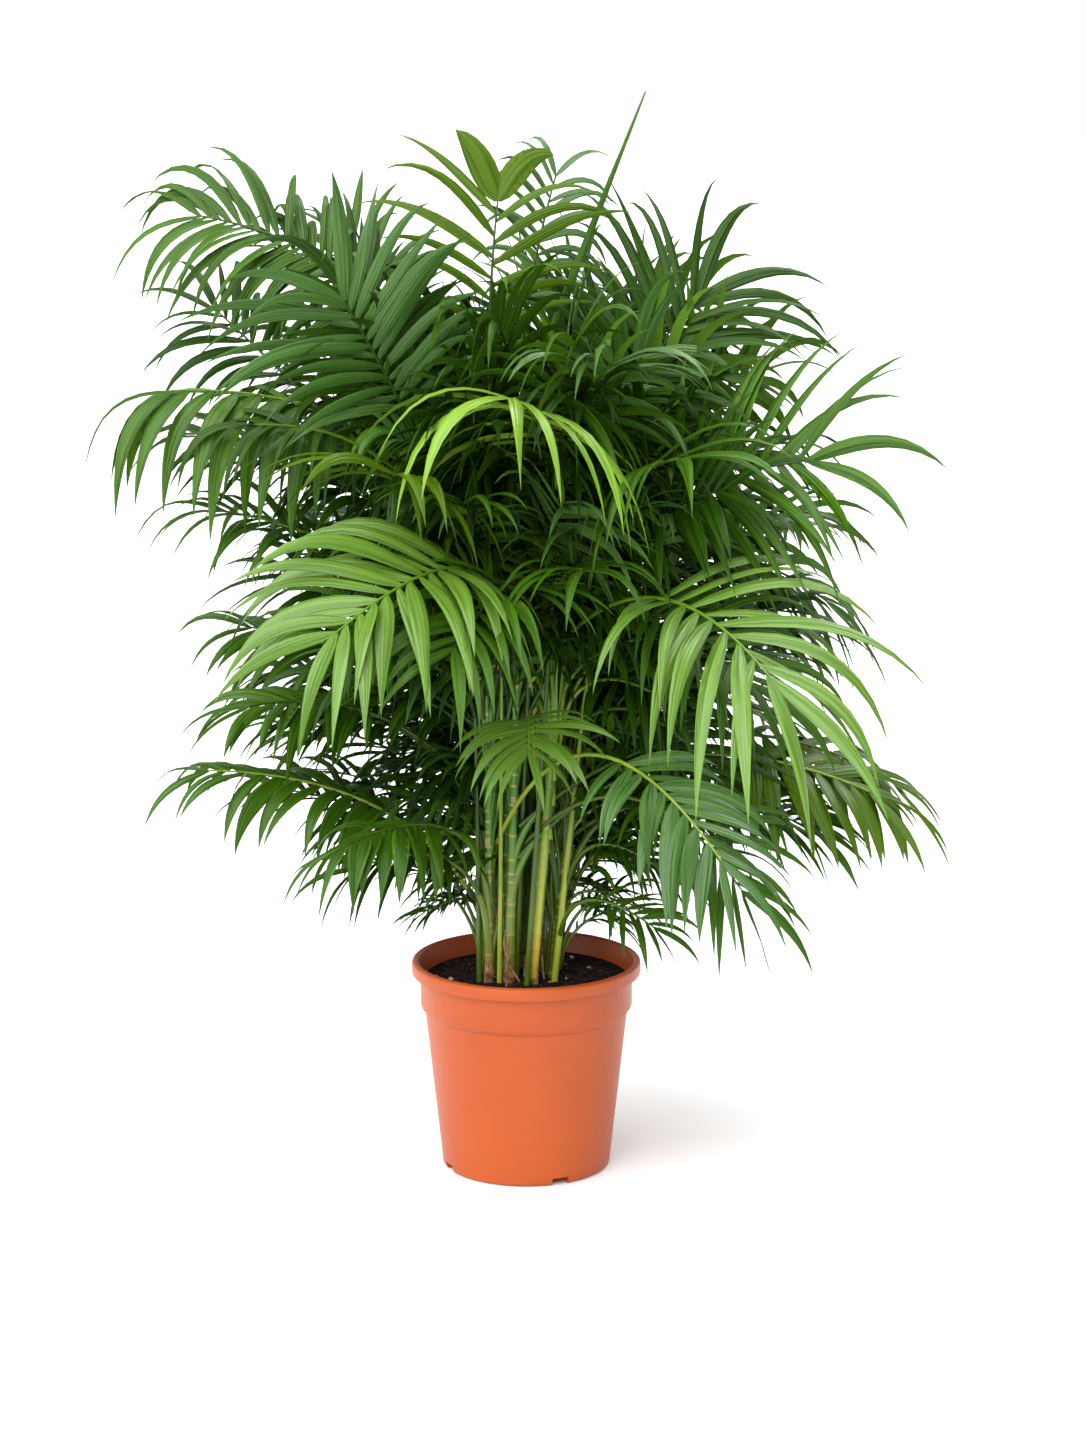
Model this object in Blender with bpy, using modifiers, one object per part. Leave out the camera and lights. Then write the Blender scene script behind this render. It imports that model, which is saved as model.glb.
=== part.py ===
"""Parlour palm in its plastic pot: the canes, every frond, the pot and its soil, each a solid of its own.

Metres, +Z up. The origin is the centre of the pot's flat underside, and -Y is the plant's front.
"""
import math
import random

import bmesh
import bpy
import numpy as np
from mathutils.bvhtree import BVHTree

# Pot, turned, with a rolled rim, a band under it and drain notches round the foot
POT_HEIGHT = 0.240
RIM_RADIUS = 0.130
LIP_HEIGHT = 0.016
LIP_OVERHANG = 0.0095
LIP_ROUNDING = 0.003
LIP_EDGE = 0.0015
LIP_THICKNESS = 0.009
BAND_BOTTOM = 0.182
BAND_STEP = 0.0055
BAND_EDGE = 0.004
BAND_FLARE = 0.0025
FOOT_RADIUS = 0.095
FOOT_ROUNDING = 0.005
WALL = 0.0030
FLOOR = 0.0050
INNER_CORNER = 0.008
POT_STEPS = 48
NOTCH_COUNT = 4
NOTCH_WIDTH = 0.020
NOTCH_HEIGHT = 0.0085
NOTCH_DEPTH = 0.03
NOTCH_FIRST = -66.0

# Soil, and the clearance that every solid keeps to its neighbour. The soil's is wider at the turned wall
SOIL_TOP = 0.218
GAP = 0.0003
SOIL_PLAY = 0.00045

# Canes: a tight clump set out by the golden angle, leaning out a little from the middle
GOLDEN_ANGLE = 137.5
CLUMP_SPACING = 0.0135
CANE_LEAN = 0.055
CANE_BOW = 0.020
CLUMP_SHIFT = -0.012
CLUMP_DRIFT = 0.045
CANE_TAPER = 0.45
CANE_POINTS = 6
FOOT_STRETCH = 0.004
CANE_ROUNDNESS = 4
CANES = [
    # Height of the top, radius at the soil
    (0.760, 0.0076),
    (0.620, 0.0062),
    (0.700, 0.0058),
    (0.580, 0.0062),
    (0.660, 0.0052),
    (0.520, 0.0056),
    (0.600, 0.0050),
    (0.480, 0.0052),
    (0.550, 0.0048),
    (0.420, 0.0048),
]

# The spear is the next leaf, still rolled up, nearly straight and widest past its middle
SPEAR_TIP = (0.130, 0.020, 1.205)
SPEAR_BEND = 0.05
SPEAR_FOOT_GAP = 0.0012
SPEAR_POINTS = 9
SPEAR_ROUNDNESS = 1
SPEAR_PROFILE = [
    # Share of the way up, radius
    (0.00, 0.0028),
    (0.40, 0.0030),
    (0.65, 0.0043),
    (0.85, 0.0028),
    (1.00, 0.0006),
]

# A frond's stem and rib: three-sided, tapering from the cane to the tip
STEM_RADIUS = 0.0026
NECK_RADIUS = 0.0021
RIB_TIP_RADIUS = 0.0010
STEM_STATIONS = 5
RIB_STATIONS = 5
ROUTE_SPACING = 0.004
ROUTE_CLEARANCE = 0.0020
ROUTE_TRIES = 200

# Leaflets: pairs set along the rib, each a low ridged blade with one bend
PAIRS = 7
STAGGER = 0.35
BASAL_SPLAY = 72.0
UPPER_SPLAY = 40.0
END_SPLAY = 25.0
END_SETBACK = 0.006
LIFT = 12.0
BLADE_WIDTH = 0.170
BLADE_THICKNESS = 0.013
BLADE_WIDEST = 0.42
BEND_STEPS = 12
ROOT_DEPTH = 0.4
LEAFLET_TURNS = (0, 7, -7, 14, -14, 21, -21, 28)
LEAFLET_CUTS = (1.0, 0.8, 0.62)
TURN_LIFT = 0.6
LEAFLET_CLEARANCE = 0.0006

FRONDS = {
    # Cane, height on it, neck, tip of the rib, way the upper side faces (heading, tilt), leaflet, hang
    "crown_fan": (0, 0.70, (-0.04, -0.03, 0.93), (-0.03, -0.01, 1.09), (270, 35), 0.140, 0.90),
    "crown_curl": (2, 0.66, (0.00, 0.06, 0.98), (0.03, 0.10, 1.11), (280, 30), 0.105, 1.40),
    "crown_dark": (0, 0.70, (0.05, 0.04, 0.86), (0.08, 0.07, 0.95), (270, 20), 0.125, 0.40),
    "left_top": (2, 0.62, (-0.20, 0.06, 1.01), (-0.36, 0.07, 1.07), (255, 50), 0.130, 1.10),
    "left_heart": (0, 0.64, (-0.13, -0.08, 0.87), (-0.19, -0.13, 0.99), (262, 25), 0.160, 0.60),
    "left_mid": (4, 0.58, (-0.26, 0.10, 0.88), (-0.35, 0.14, 0.96), (240, 60), 0.130, 1.30),
    "back_left": (2, 0.58, (-0.15, 0.15, 0.94), (-0.20, 0.21, 1.04), (290, 30), 0.120, 0.80),
    "left_arch": (1, 0.56, (-0.19, -0.02, 0.85), (-0.38, -0.07, 0.89), (235, 70), 0.155, 1.90),
    "left_shade": (6, 0.54, (-0.20, 0.08, 0.77), (-0.35, 0.10, 0.82), (230, 70), 0.150, 1.50),
    "left_low_arch": (1, 0.50, (-0.19, 0.02, 0.70), (-0.33, 0.00, 0.75), (235, 70), 0.140, 1.50),
    "left_broad": (0, 0.56, (-0.05, -0.14, 0.70), (-0.19, -0.33, 0.67), (262, 50), 0.175, 0.90),
    "left_side": (3, 0.48, (-0.17, 0.05, 0.57), (-0.31, 0.06, 0.61), (235, 65), 0.130, 1.10),
    "left_side_low": (5, 0.42, (-0.17, -0.04, 0.53), (-0.30, -0.10, 0.55), (240, 70), 0.135, 1.10),
    "left_back": (5, 0.40, (-0.15, 0.10, 0.53), (-0.27, 0.13, 0.55), (215, 75), 0.140, 1.10),
    "low_left": (5, 0.29, (-0.10, -0.02, 0.37), (-0.35, -0.06, 0.47), (235, 70), 0.130, 1.30),
    "low_left_near": (8, 0.34, (-0.08, -0.10, 0.41), (-0.19, -0.20, 0.42), (240, 65), 0.130, 1.30),
    "low_left_back": (2, 0.36, (-0.12, 0.10, 0.44), (-0.25, 0.15, 0.48), (215, 75), 0.135, 1.20),
    "right_crown": (4, 0.62, (0.11, 0.00, 0.86), (0.19, 0.04, 0.98), (270, 30), 0.155, 1.05),
    "right_reach": (2, 0.54, (0.15, -0.05, 0.76), (0.30, -0.12, 0.82), (270, 38), 0.165, 0.70),
    "right_shade": (6, 0.50, (0.13, 0.06, 0.72), (0.24, 0.10, 0.72), (280, 55), 0.150, 1.10),
    "right_hang": (3, 0.52, (0.20, 0.08, 0.72), (0.34, 0.10, 0.66), (320, 65), 0.140, 1.00),
    "right_broad": (0, 0.52, (0.14, -0.17, 0.68), (0.25, -0.30, 0.62), (285, 55), 0.180, 0.95),
    "right_low": (7, 0.36, (0.20, -0.09, 0.48), (0.36, -0.14, 0.45), (290, 65), 0.135, 0.90),
    "right_far": (3, 0.40, (0.25, -0.03, 0.50), (0.41, -0.05, 0.45), (315, 70), 0.135, 0.80),
    "right_gloss": (5, 0.36, (0.13, -0.20, 0.50), (0.23, -0.31, 0.42), (290, 50), 0.150, 0.80),
    "lime_arch": (2, 0.58, (0.02, -0.13, 0.84), (-0.01, -0.26, 0.90), (270, 70), 0.145, 1.80),
    "small_front": (1, 0.38, (-0.01, -0.15, 0.54), (-0.01, -0.23, 0.52), (270, 60), 0.095, 0.90),
    "heart_dark": (4, 0.54, (-0.05, 0.03, 0.68), (-0.05, 0.05, 0.76), (270, 15), 0.100, 0.30),
    "right_under": (7, 0.42, (0.13, -0.05, 0.55), (0.22, -0.12, 0.49), (290, 60), 0.135, 0.90),
    "right_deep": (9, 0.40, (0.09, 0.05, 0.50), (0.18, 0.08, 0.46), (290, 70), 0.130, 1.00),
    "sprout_right": (9, 0.26, (0.08, -0.09, 0.33), (0.14, -0.13, 0.31), (290, 60), 0.075, 0.80),
    "heart_left": (8, 0.52, (-0.08, -0.07, 0.74), (-0.13, -0.21, 0.82), (265, 55), 0.160, 1.00),
    "heart_right": (6, 0.58, (0.09, -0.05, 0.75), (0.16, -0.19, 0.83), (275, 55), 0.160, 1.00),
    "mid_left": (5, 0.50, (-0.09, -0.07, 0.62), (-0.19, -0.18, 0.64), (250, 60), 0.150, 1.10),
    "mid_left_back": (8, 0.47, (-0.11, 0.05, 0.63), (-0.24, 0.09, 0.68), (235, 65), 0.150, 1.20),
    "mid_right": (6, 0.46, (0.09, -0.03, 0.60), (0.21, -0.10, 0.60), (290, 60), 0.150, 1.00),
    "low_right": (9, 0.33, (0.11, -0.03, 0.42), (0.21, -0.05, 0.40), (290, 65), 0.110, 1.00),
    "back_high": (2, 0.68, (0.02, 0.16, 0.94), (0.03, 0.31, 1.00), (270, 75), 0.140, 1.20),
    "back_high_right": (6, 0.56, (0.12, 0.15, 0.86), (0.21, 0.29, 0.90), (240, 70), 0.140, 1.20),
    "back_right": (3, 0.55, (0.16, 0.15, 0.71), (0.29, 0.30, 0.70), (220, 75), 0.145, 1.20),
    "back_mid": (7, 0.46, (0.00, 0.16, 0.72), (-0.03, 0.36, 0.74), (270, 80), 0.150, 1.20),
    "back_mid_left": (4, 0.50, (-0.12, 0.17, 0.69), (-0.24, 0.33, 0.70), (310, 75), 0.145, 1.20),
    "back_low": (7, 0.40, (0.04, 0.16, 0.55), (0.08, 0.36, 0.53), (270, 80), 0.145, 1.20),
    "back_low_left": (7, 0.45, (-0.09, 0.18, 0.53), (-0.17, 0.36, 0.48), (300, 75), 0.140, 1.20),
    "back_low_right": (9, 0.37, (0.14, 0.14, 0.50), (0.28, 0.25, 0.47), (230, 75), 0.135, 1.20),
    "back_foot": (7, 0.32, (-0.01, 0.12, 0.39), (-0.03, 0.25, 0.37), (270, 80), 0.115, 1.20),
}

# Base colours, roughness
FINISHES = {
    "pot": ((0.78, 0.17, 0.055), 0.42),
    "soil": ((0.012, 0.007, 0.005), 0.95),
    "cane": ((0.35, 0.38, 0.06), 0.50),
    "frond": ((0.045, 0.17, 0.022), 0.45),
}


def remove_everything():
    for old in list(bpy.data.objects):
        bpy.data.objects.remove(old, do_unlink=True)


def make_collection(name):
    made = bpy.data.collections.new(name)
    bpy.context.scene.collection.children.link(made)
    return made


def make_material(name, finish):
    colour, roughness = FINISHES[finish]
    made = bpy.data.materials.new(name)
    made.use_nodes = True
    shader = made.node_tree.nodes["Principled BSDF"]
    shader.inputs["Base Color"].default_value = (*colour, 1.0)
    shader.inputs["Roughness"].default_value = roughness
    return made


def add_object(name, mesh, finish, collection):
    obj = bpy.data.objects.new(name, mesh)
    mesh.materials.append(make_material(name, finish))
    collection.objects.link(obj)
    return obj


def unit(vector):
    vector = np.asarray(vector, float)
    return vector / np.linalg.norm(vector)


def compass(heading, tilt=0.0):
    """The unit vector with this heading round +Z, from +X, and this tilt above level."""
    a = math.radians(heading)
    b = math.radians(tilt)
    return np.array([math.cos(a) * math.cos(b), math.sin(a) * math.cos(b), math.sin(b)])


UP = compass(0, 90)


def square_to(vector, along):
    """The part of vector that is square to the unit vector along, as a unit vector."""
    return unit(vector - vector.dot(along) * along)


def cane_centre(index, height):
    rise = height - SOIL_TOP
    outward = CLUMP_SPACING * math.sqrt(index + 0.4) + CANE_LEAN * rise + CANE_BOW * rise * rise
    centre = compass(200 + GOLDEN_ANGLE * index) * outward
    return centre + np.array([CLUMP_SHIFT + CLUMP_DRIFT * rise, 0, height])


def cane_radius(index, height):
    top, foot_radius = CANES[index]
    return foot_radius * (1 - CANE_TAPER * (height - SOIL_TOP) / (top - SOIL_TOP))


def cane_path(index):
    """The cane's middle line and radii. Its first stretch is upright, so that its foot is cut level."""
    foot = SOIL_TOP + GAP
    heights = np.array([foot, *np.linspace(foot + FOOT_STRETCH, CANES[index][0], CANE_POINTS)])
    centres = np.array([cane_centre(index, z) for z in heights])
    centres[0, :2] = centres[1, :2]
    return centres, np.array([cane_radius(index, z) for z in heights])


def even_points(path, spacing):
    """The path's points set out again at an even spacing, with each one's share of the way along."""
    steps = np.linalg.norm(np.diff(path, axis=0), axis=1)
    reached = np.concatenate([[0], np.cumsum(steps)])
    wanted = np.linspace(0, reached[-1], max(2, int(reached[-1] / spacing)))
    points = np.stack([np.interp(wanted, reached, path[:, axis]) for axis in range(3)], axis=1)
    return points, wanted / reached[-1]


class Rib:
    """A frond's stem and rib: one parabola from the cane, through the neck, to the rib's tip.

    The stem's cut end leans with it, so its distance from the cane is fitted in a few turns.
    """

    def __init__(self, name, turn=0.0, slip=0.0, shift=(0, 0, 0)):
        cane, height, neck, tip, face, self.leaflet, self.hang = FRONDS[name]
        self.face = compass(*face)
        self.tip = np.array(tip) + shift
        neck = np.array(neck) + shift
        height = height + slip
        axis = cane_centre(cane, height)
        way_out = neck - axis
        outward = compass(math.degrees(math.atan2(way_out[1], way_out[0])) + turn)
        self.inward = -outward
        end_reach = STEM_RADIUS
        for fitting in range(3):
            self.start = axis + outward * (cane_radius(cane, height) + GAP + end_reach)
            to_neck = np.linalg.norm(neck - self.start)
            t = to_neck / (to_neck + np.linalg.norm(self.tip - neck))
            self.control = (neck - (1 - t) ** 2 * self.start - t * t * self.tip) / (2 * t * (1 - t))
            end_reach = STEM_RADIUS * math.sqrt(1 - self.along(0).dot(outward) ** 2)
        self.neck_at = t

    def point(self, t):
        return (1 - t) ** 2 * self.start + 2 * t * (1 - t) * self.control + t * t * self.tip

    def along(self, t):
        return unit((1 - t) * (self.control - self.start) + t * (self.tip - self.control))

    def radius(self, t):
        neck = self.neck_at
        return float(np.interp(t, [0, neck, 1], [STEM_RADIUS, NECK_RADIUS, RIB_TIP_RADIUS]))

    def stations(self):
        """Where the stem and rib have a ring of points, the neck among them."""
        stem = np.linspace(0, self.neck_at, STEM_STATIONS)
        return np.concatenate([stem, np.linspace(self.neck_at, 1, RIB_STATIONS)[1:]])

    def seat(self, t):
        """The middle of the modelled rib at t, which runs straight from station to station."""
        marks = self.stations()
        places = np.array([self.point(mark) for mark in marks])
        return np.array([np.interp(t, marks, places[:, axis]) for axis in range(3)])

    def route(self):
        """Evenly spaced points on the way, with the radius at each."""
        path = np.array([self.point(t) for t in np.linspace(0, 1, 60)])
        points, shares = even_points(path, ROUTE_SPACING)
        return points, np.array([self.radius(t) for t in shares])


def clear_of(route, taken, clearance=ROUTE_CLEARANCE):
    points, radii = route
    for other, other_radii in taken:
        apart = np.linalg.norm(points[:, None] - other[None], axis=2)
        if (apart - radii[:, None] - other_radii[None]).min() < clearance:
            return False
    return True


def cane_route(index):
    path, radii = cane_path(index)
    points, shares = even_points(path, ROUTE_SPACING)
    return points, np.interp(shares, [0, 1], [radii[0], radii[-1]])


def spear_path():
    """The spear's middle line and radii, from just above its cane's top."""
    start = cane_centre(0, CANES[0][0]) + UP * SPEAR_FOOT_GAP
    bend = start + UP * SPEAR_BEND
    tip = np.array(SPEAR_TIP)
    shares = np.linspace(0, 1, SPEAR_POINTS)
    path = np.array([(1 - t) ** 2 * start + 2 * t * (1 - t) * bend + t * t * tip for t in shares])
    marks, radii = zip(*SPEAR_PROFILE)
    return path, np.interp(shares, marks, radii)


def spear_route():
    path, radii = spear_path()
    points, shares = even_points(path, ROUTE_SPACING)
    return points, np.interp(shares, np.linspace(0, 1, len(radii)), radii)


def route_fronds():
    """Each frond's rib, turned round its cane or shifted a little where its way would touch another."""
    canes = [cane_route(index) for index in range(len(CANES))]
    ribs = {}
    taken = [spear_route()]
    for name in FRONDS:
        own = FRONDS[name][0]
        others = canes[:own] + canes[own + 1:] + taken
        rng = random.Random(name)
        for attempt in range(ROUTE_TRIES):
            give = attempt / ROUTE_TRIES
            turn = give * rng.uniform(-110, 110)
            slip = give * rng.uniform(-0.05, 0.05)
            shift = [give * rng.uniform(-0.04, 0.04) for axis in range(3)]
            rib = Rib(name, turn, slip, shift)
            route = rib.route()
            past_cane = route[0][4:], route[1][4:]
            if clear_of(route, others) and clear_of(past_cane, [canes[own]], GAP * 3):
                break
        else:
            print("no clear way for", name)
        ribs[name] = rib
        taken.append(route)
    return ribs


def loft(sections):
    """Vertices and faces of a closed skin over the sections, each a ring of three points or one point."""
    vertices = []
    faces = []
    before = None
    for section in sections:
        here = list(range(len(vertices), len(vertices) + len(section)))
        vertices.extend(section)
        if before is None:
            if len(here) == 3:
                faces.append(here[::-1])
        elif len(before) == 1:
            faces.extend((before[0], here[k], here[(k + 1) % 3]) for k in range(3))
        elif len(here) == 1:
            faces.extend((before[k], here[0], before[(k + 1) % 3]) for k in range(3))
        else:
            for k in range(3):
                n = (k + 1) % 3
                faces.append((before[k], here[k], here[n], before[n]))
        before = here
    if len(before) == 3:
        faces.append(before)
    return vertices, faces


def solid_mesh(name, vertices, faces):
    mesh = bpy.data.meshes.new(name)
    mesh.from_pydata([tuple(v) for v in vertices], [], [tuple(f) for f in faces])
    bm = bmesh.new()
    bm.from_mesh(mesh)
    bmesh.ops.recalc_face_normals(bm, faces=bm.faces)
    bmesh.ops.triangulate(bm, faces=bm.faces)
    bm.to_mesh(mesh)
    bm.free()
    return mesh


def edge_turn(ridge, upper, along):
    """How far a three-sided ring turns, from one edge at ridge, to bring its nearest edge to upper."""
    third = math.radians(120)
    across = np.cross(along, ridge)
    turn = math.atan2(upper.dot(across), upper.dot(ridge))
    return (turn + third / 2) % third - third / 2


def stem_skin(rib):
    """The stem and rib, three-sided: an edge faces the cane at the start, and the upper side at the neck."""
    ridge = rib.inward
    sections = []
    for t in rib.stations():
        along = rib.along(t)
        ridge = square_to(ridge, along)
        across = np.cross(along, ridge)
        turn = edge_turn(ridge, square_to(rib.face, along), along) * min(1, t / rib.neck_at)
        angles = [turn + math.radians(corner) for corner in (0, 120, 240)]
        ring = [ridge * math.cos(a) + across * math.sin(a) for a in angles]
        sections.append([rib.point(t) + rib.radius(t) * spoke for spoke in ring])
    return loft(sections)


def leaflet_skin(rib, t, side, splay, length, rise):
    """One leaflet from the rib at t: it sets off at its splay angle and hangs more towards its tip."""
    along = rib.along(t)
    upper = square_to(rib.face, along)
    outward = np.cross(along, upper) * side
    angle = math.radians(splay)
    lift = math.radians(rise)
    heading = math.cos(angle) * along + math.sin(angle) * (math.cos(lift) * outward + math.sin(lift) * upper)
    place = rib.seat(t) - unit(heading) * rib.radius(t) * ROOT_DEPTH
    sections = [[place]]
    for step in range(BEND_STEPS):
        if step == round(BLADE_WIDEST * BEND_STEPS):
            across = unit(np.cross(heading, upper))
            half = across * BLADE_WIDTH * length / 2
            ridge = np.cross(across, heading) * BLADE_THICKNESS * length
            sections.append([place - half, place + half, place + ridge])
        heading = unit(heading - UP * rib.hang * 2 * (step + 0.5) / BEND_STEPS ** 2)
        place = place + heading * length / BEND_STEPS
    sections.append([place])
    return loft(sections)


def leaflet_places(rib):
    """Where each leaflet sits on the rib, its side, splay angle and length."""
    for pair in range(PAIRS):
        last = pair == PAIRS - 1
        for side in (1, -1):
            u = pair / (PAIRS - 1)
            if side < 0 and not last:
                u += STAGGER / (PAIRS - 1)
            t = rib.neck_at + u * (1 - rib.neck_at)
            if last:
                yield t - END_SETBACK * (2 + side), side, END_SPLAY, rib.leaflet * 0.80
            else:
                splay = BASAL_SPLAY + (UPPER_SPLAY - BASAL_SPLAY) * u
                yield t, side, splay, rib.leaflet * (0.74 + 1.0 * u * (1 - u) + 0.06 * u)


def tree_of(skin):
    vertices, faces = skin
    return BVHTree.FromPolygons([tuple(v) for v in vertices], faces, epsilon=LEAFLET_CLEARANCE)


def fitted_leaflets(rib, name, trees):
    """The frond's leaflets, each turned or shortened until it touches nothing, or left out.

    Only the last two, which part at the rib's tip, may meet each other there.
    """
    others = [tree for key, tree in trees.items() if key != name]
    kept = []
    own = []
    places = list(leaflet_places(rib))
    for number, (t, side, splay, length) in enumerate(places):
        in_reach = others + (own[:-1] if number == len(places) - 1 else own)
        for share, turn in ((share, turn) for share in LEAFLET_CUTS for turn in LEAFLET_TURNS):
            skin = leaflet_skin(rib, t, side, splay + turn, length * share, LIFT + turn * TURN_LIFT)
            tree = tree_of(skin)
            if not any(tree.overlap(other) for other in in_reach):
                kept.append(skin)
                own.append(tree)
                break
    return kept


def fuse(name, skins, collection):
    """One solid from the skins, by one Boolean union on a collection."""
    pieces = make_collection(name + "_pieces")
    base = add_object(name, solid_mesh(name, *skins[0]), "frond", collection)
    for number, skin in enumerate(skins[1:]):
        mesh = solid_mesh(f"{name}_piece_{number}", *skin)
        piece = bpy.data.objects.new(mesh.name, mesh)
        pieces.objects.link(piece)
    union = base.modifiers.new("leaflets", "BOOLEAN")
    union.operation = "UNION"
    union.operand_type = "COLLECTION"
    union.collection = pieces
    union.solver = "MANIFOLD"
    graph = bpy.context.evaluated_depsgraph_get()
    joined = bpy.data.meshes.new_from_object(base.evaluated_get(graph))
    base.modifiers.remove(union)
    base.data = joined
    for piece in list(pieces.objects):
        bpy.data.objects.remove(piece, do_unlink=True)
    bpy.data.collections.remove(pieces)
    return base


def make_fronds(collection):
    ribs = route_fronds()
    trees = {f"cane_{k}": tree_of(coarse_skin(*cane_path(k))) for k in range(len(CANES))}
    trees["spear"] = tree_of(coarse_skin(*spear_path()))
    stems = {name: stem_skin(rib) for name, rib in ribs.items()}
    trees.update({name: tree_of(skin) for name, skin in stems.items()})
    for name, rib in ribs.items():
        leaflets = fitted_leaflets(rib, name, trees)
        frond = fuse("frond_" + name, [stems[name], *leaflets], collection)
        graph = bpy.context.evaluated_depsgraph_get()
        trees[name] = BVHTree.FromObject(frond, graph, epsilon=LEAFLET_CLEARANCE)
        print(name, len(leaflets), "leaflets", len(frond.data.polygons), "faces")


def tube(name, path, radii, roundness, finish, collection):
    """A round tapering limb: a curve with a bevel and filled caps, made a mesh with its caps welded."""
    curve = bpy.data.curves.new(name, "CURVE")
    curve.dimensions = "3D"
    curve.bevel_depth = 1.0
    curve.bevel_resolution = roundness
    curve.use_fill_caps = True
    spline = curve.splines.new("POLY")
    spline.points.add(len(path) - 1)
    for point, place, radius in zip(spline.points, path, radii):
        point.co = (*place, 1.0)
        point.radius = radius
    drawn = bpy.data.objects.new(name + "_curve", curve)
    collection.objects.link(drawn)
    graph = bpy.context.evaluated_depsgraph_get()
    mesh = bpy.data.meshes.new_from_object(drawn.evaluated_get(graph))
    mesh.name = name
    bpy.data.objects.remove(drawn, do_unlink=True)
    bm = bmesh.new()
    bm.from_mesh(mesh)
    bmesh.ops.remove_doubles(bm, verts=bm.verts, dist=0.00001)
    bmesh.ops.recalc_face_normals(bm, faces=bm.faces)
    bm.to_mesh(mesh)
    bm.free()
    limb = add_object(name, mesh, finish, collection)
    mesh.shade_smooth()
    mesh.set_sharp_from_angle(angle=math.radians(40))
    return limb


def coarse_skin(path, radii):
    """A three-sided skin that holds a round limb in it, which the leaflets are kept clear of."""
    sections = []
    for centre, radius in zip(path, radii):
        reach = radius / math.cos(math.radians(60))
        sections.append([centre + reach * compass(a) for a in (0, 120, 240)])
    return loft(sections)


def make_canes(collection):
    for index in range(len(CANES)):
        tube(f"cane_{index + 1:02d}", *cane_path(index), CANE_ROUNDNESS, "cane", collection)


def make_spear(collection):
    tube("spear", *spear_path(), SPEAR_ROUNDNESS, "frond", collection)


def turned(name, outline, finish, collection):
    """A solid turned round Z from an outline given as (radius, height) down its outer side."""
    mesh = bpy.data.meshes.new(name)
    vertices = [(radius, 0, height) for radius, height in outline]
    edges = [(k, k + 1) for k in range(len(outline) - 1)]
    mesh.from_pydata(vertices, edges, [])
    obj = add_object(name, mesh, finish, collection)
    screw = obj.modifiers.new("turn", "SCREW")
    screw.axis = "Z"
    screw.steps = POT_STEPS
    screw.render_steps = POT_STEPS
    screw.use_merge_vertices = True
    screw.merge_threshold = 0.00005
    return obj


def wall_radius(height):
    """Outer radius of the pot's straight wall."""
    top = RIM_RADIUS - LIP_OVERHANG - BAND_STEP
    return FOOT_RADIUS + (top - FOOT_RADIUS) * height / BAND_BOTTOM


def inner_radius(height):
    return wall_radius(height) - WALL


def pot_outline():
    """(radius, height) down the pot's outer side, from the inner floor over the rim to the underside."""
    under_lip = POT_HEIGHT - LIP_HEIGHT
    band_top = RIM_RADIUS - LIP_OVERHANG
    outline = [
        (0, FLOOR),
        (inner_radius(FLOOR) - INNER_CORNER, FLOOR),
        (inner_radius(FLOOR + INNER_CORNER), FLOOR + INNER_CORNER),
        (inner_radius(BAND_BOTTOM), BAND_BOTTOM),
        (band_top - WALL, under_lip),
        (RIM_RADIUS - LIP_THICKNESS, POT_HEIGHT - LIP_ROUNDING),
        (RIM_RADIUS - LIP_THICKNESS + LIP_ROUNDING, POT_HEIGHT),
        (RIM_RADIUS - LIP_ROUNDING, POT_HEIGHT),
        (RIM_RADIUS, POT_HEIGHT - LIP_ROUNDING),
        (RIM_RADIUS, under_lip + LIP_EDGE),
        (RIM_RADIUS - LIP_EDGE, under_lip),
        (band_top, under_lip),
        (band_top - BAND_FLARE, BAND_BOTTOM + BAND_EDGE),
        (wall_radius(BAND_BOTTOM), BAND_BOTTOM),
    ]
    foot_centre = wall_radius(FOOT_ROUNDING) - FOOT_ROUNDING
    for k in range(4):
        a = math.radians(30 * k)
        outline.append((foot_centre + FOOT_ROUNDING * math.cos(a), FOOT_ROUNDING * (1 - math.sin(a))))
    outline.append((0, 0))
    return outline


def make_pot(collection, cutters):
    pot = turned("pot", pot_outline(), "pot", collection)
    for k in range(NOTCH_COUNT):
        heading = NOTCH_FIRST + 360 / NOTCH_COUNT * k
        bpy.ops.mesh.primitive_cube_add(
            size=1, location=compass(heading) * FOOT_RADIUS, rotation=(0, 0, math.radians(heading))
        )
        notch = bpy.context.object
        notch.name = f"cutter_notch_{k + 1}"
        notch.scale = (NOTCH_DEPTH, NOTCH_WIDTH, NOTCH_HEIGHT * 2)
        hide_cutter(notch, cutters)
        cut = pot.modifiers.new("notch", "BOOLEAN")
        cut.operation = "DIFFERENCE"
        cut.object = notch


def hide_cutter(obj, cutters):
    for owner in list(obj.users_collection):
        owner.objects.unlink(obj)
    cutters.objects.link(obj)
    obj.hide_render = True
    obj.display_type = "WIRE"


def make_soil(collection):
    """The soil fills the pot up to its level top."""
    floor = FLOOR + GAP
    outline = [
        (0, SOIL_TOP),
        (inner_radius(SOIL_TOP) - SOIL_PLAY, SOIL_TOP),
        (inner_radius(BAND_BOTTOM) - SOIL_PLAY, BAND_BOTTOM),
        (inner_radius(FLOOR + INNER_CORNER) - SOIL_PLAY, FLOOR + INNER_CORNER),
        (inner_radius(FLOOR) - INNER_CORNER - SOIL_PLAY, floor),
        (0, floor),
    ]
    turned("soil", outline, "soil", collection)


def main():
    remove_everything()
    palm = make_collection("parlour_palm")
    cutters = make_collection("cutters")
    make_pot(palm, cutters)
    make_soil(palm)
    make_canes(palm)
    make_spear(palm)
    make_fronds(palm)


main()
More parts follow.
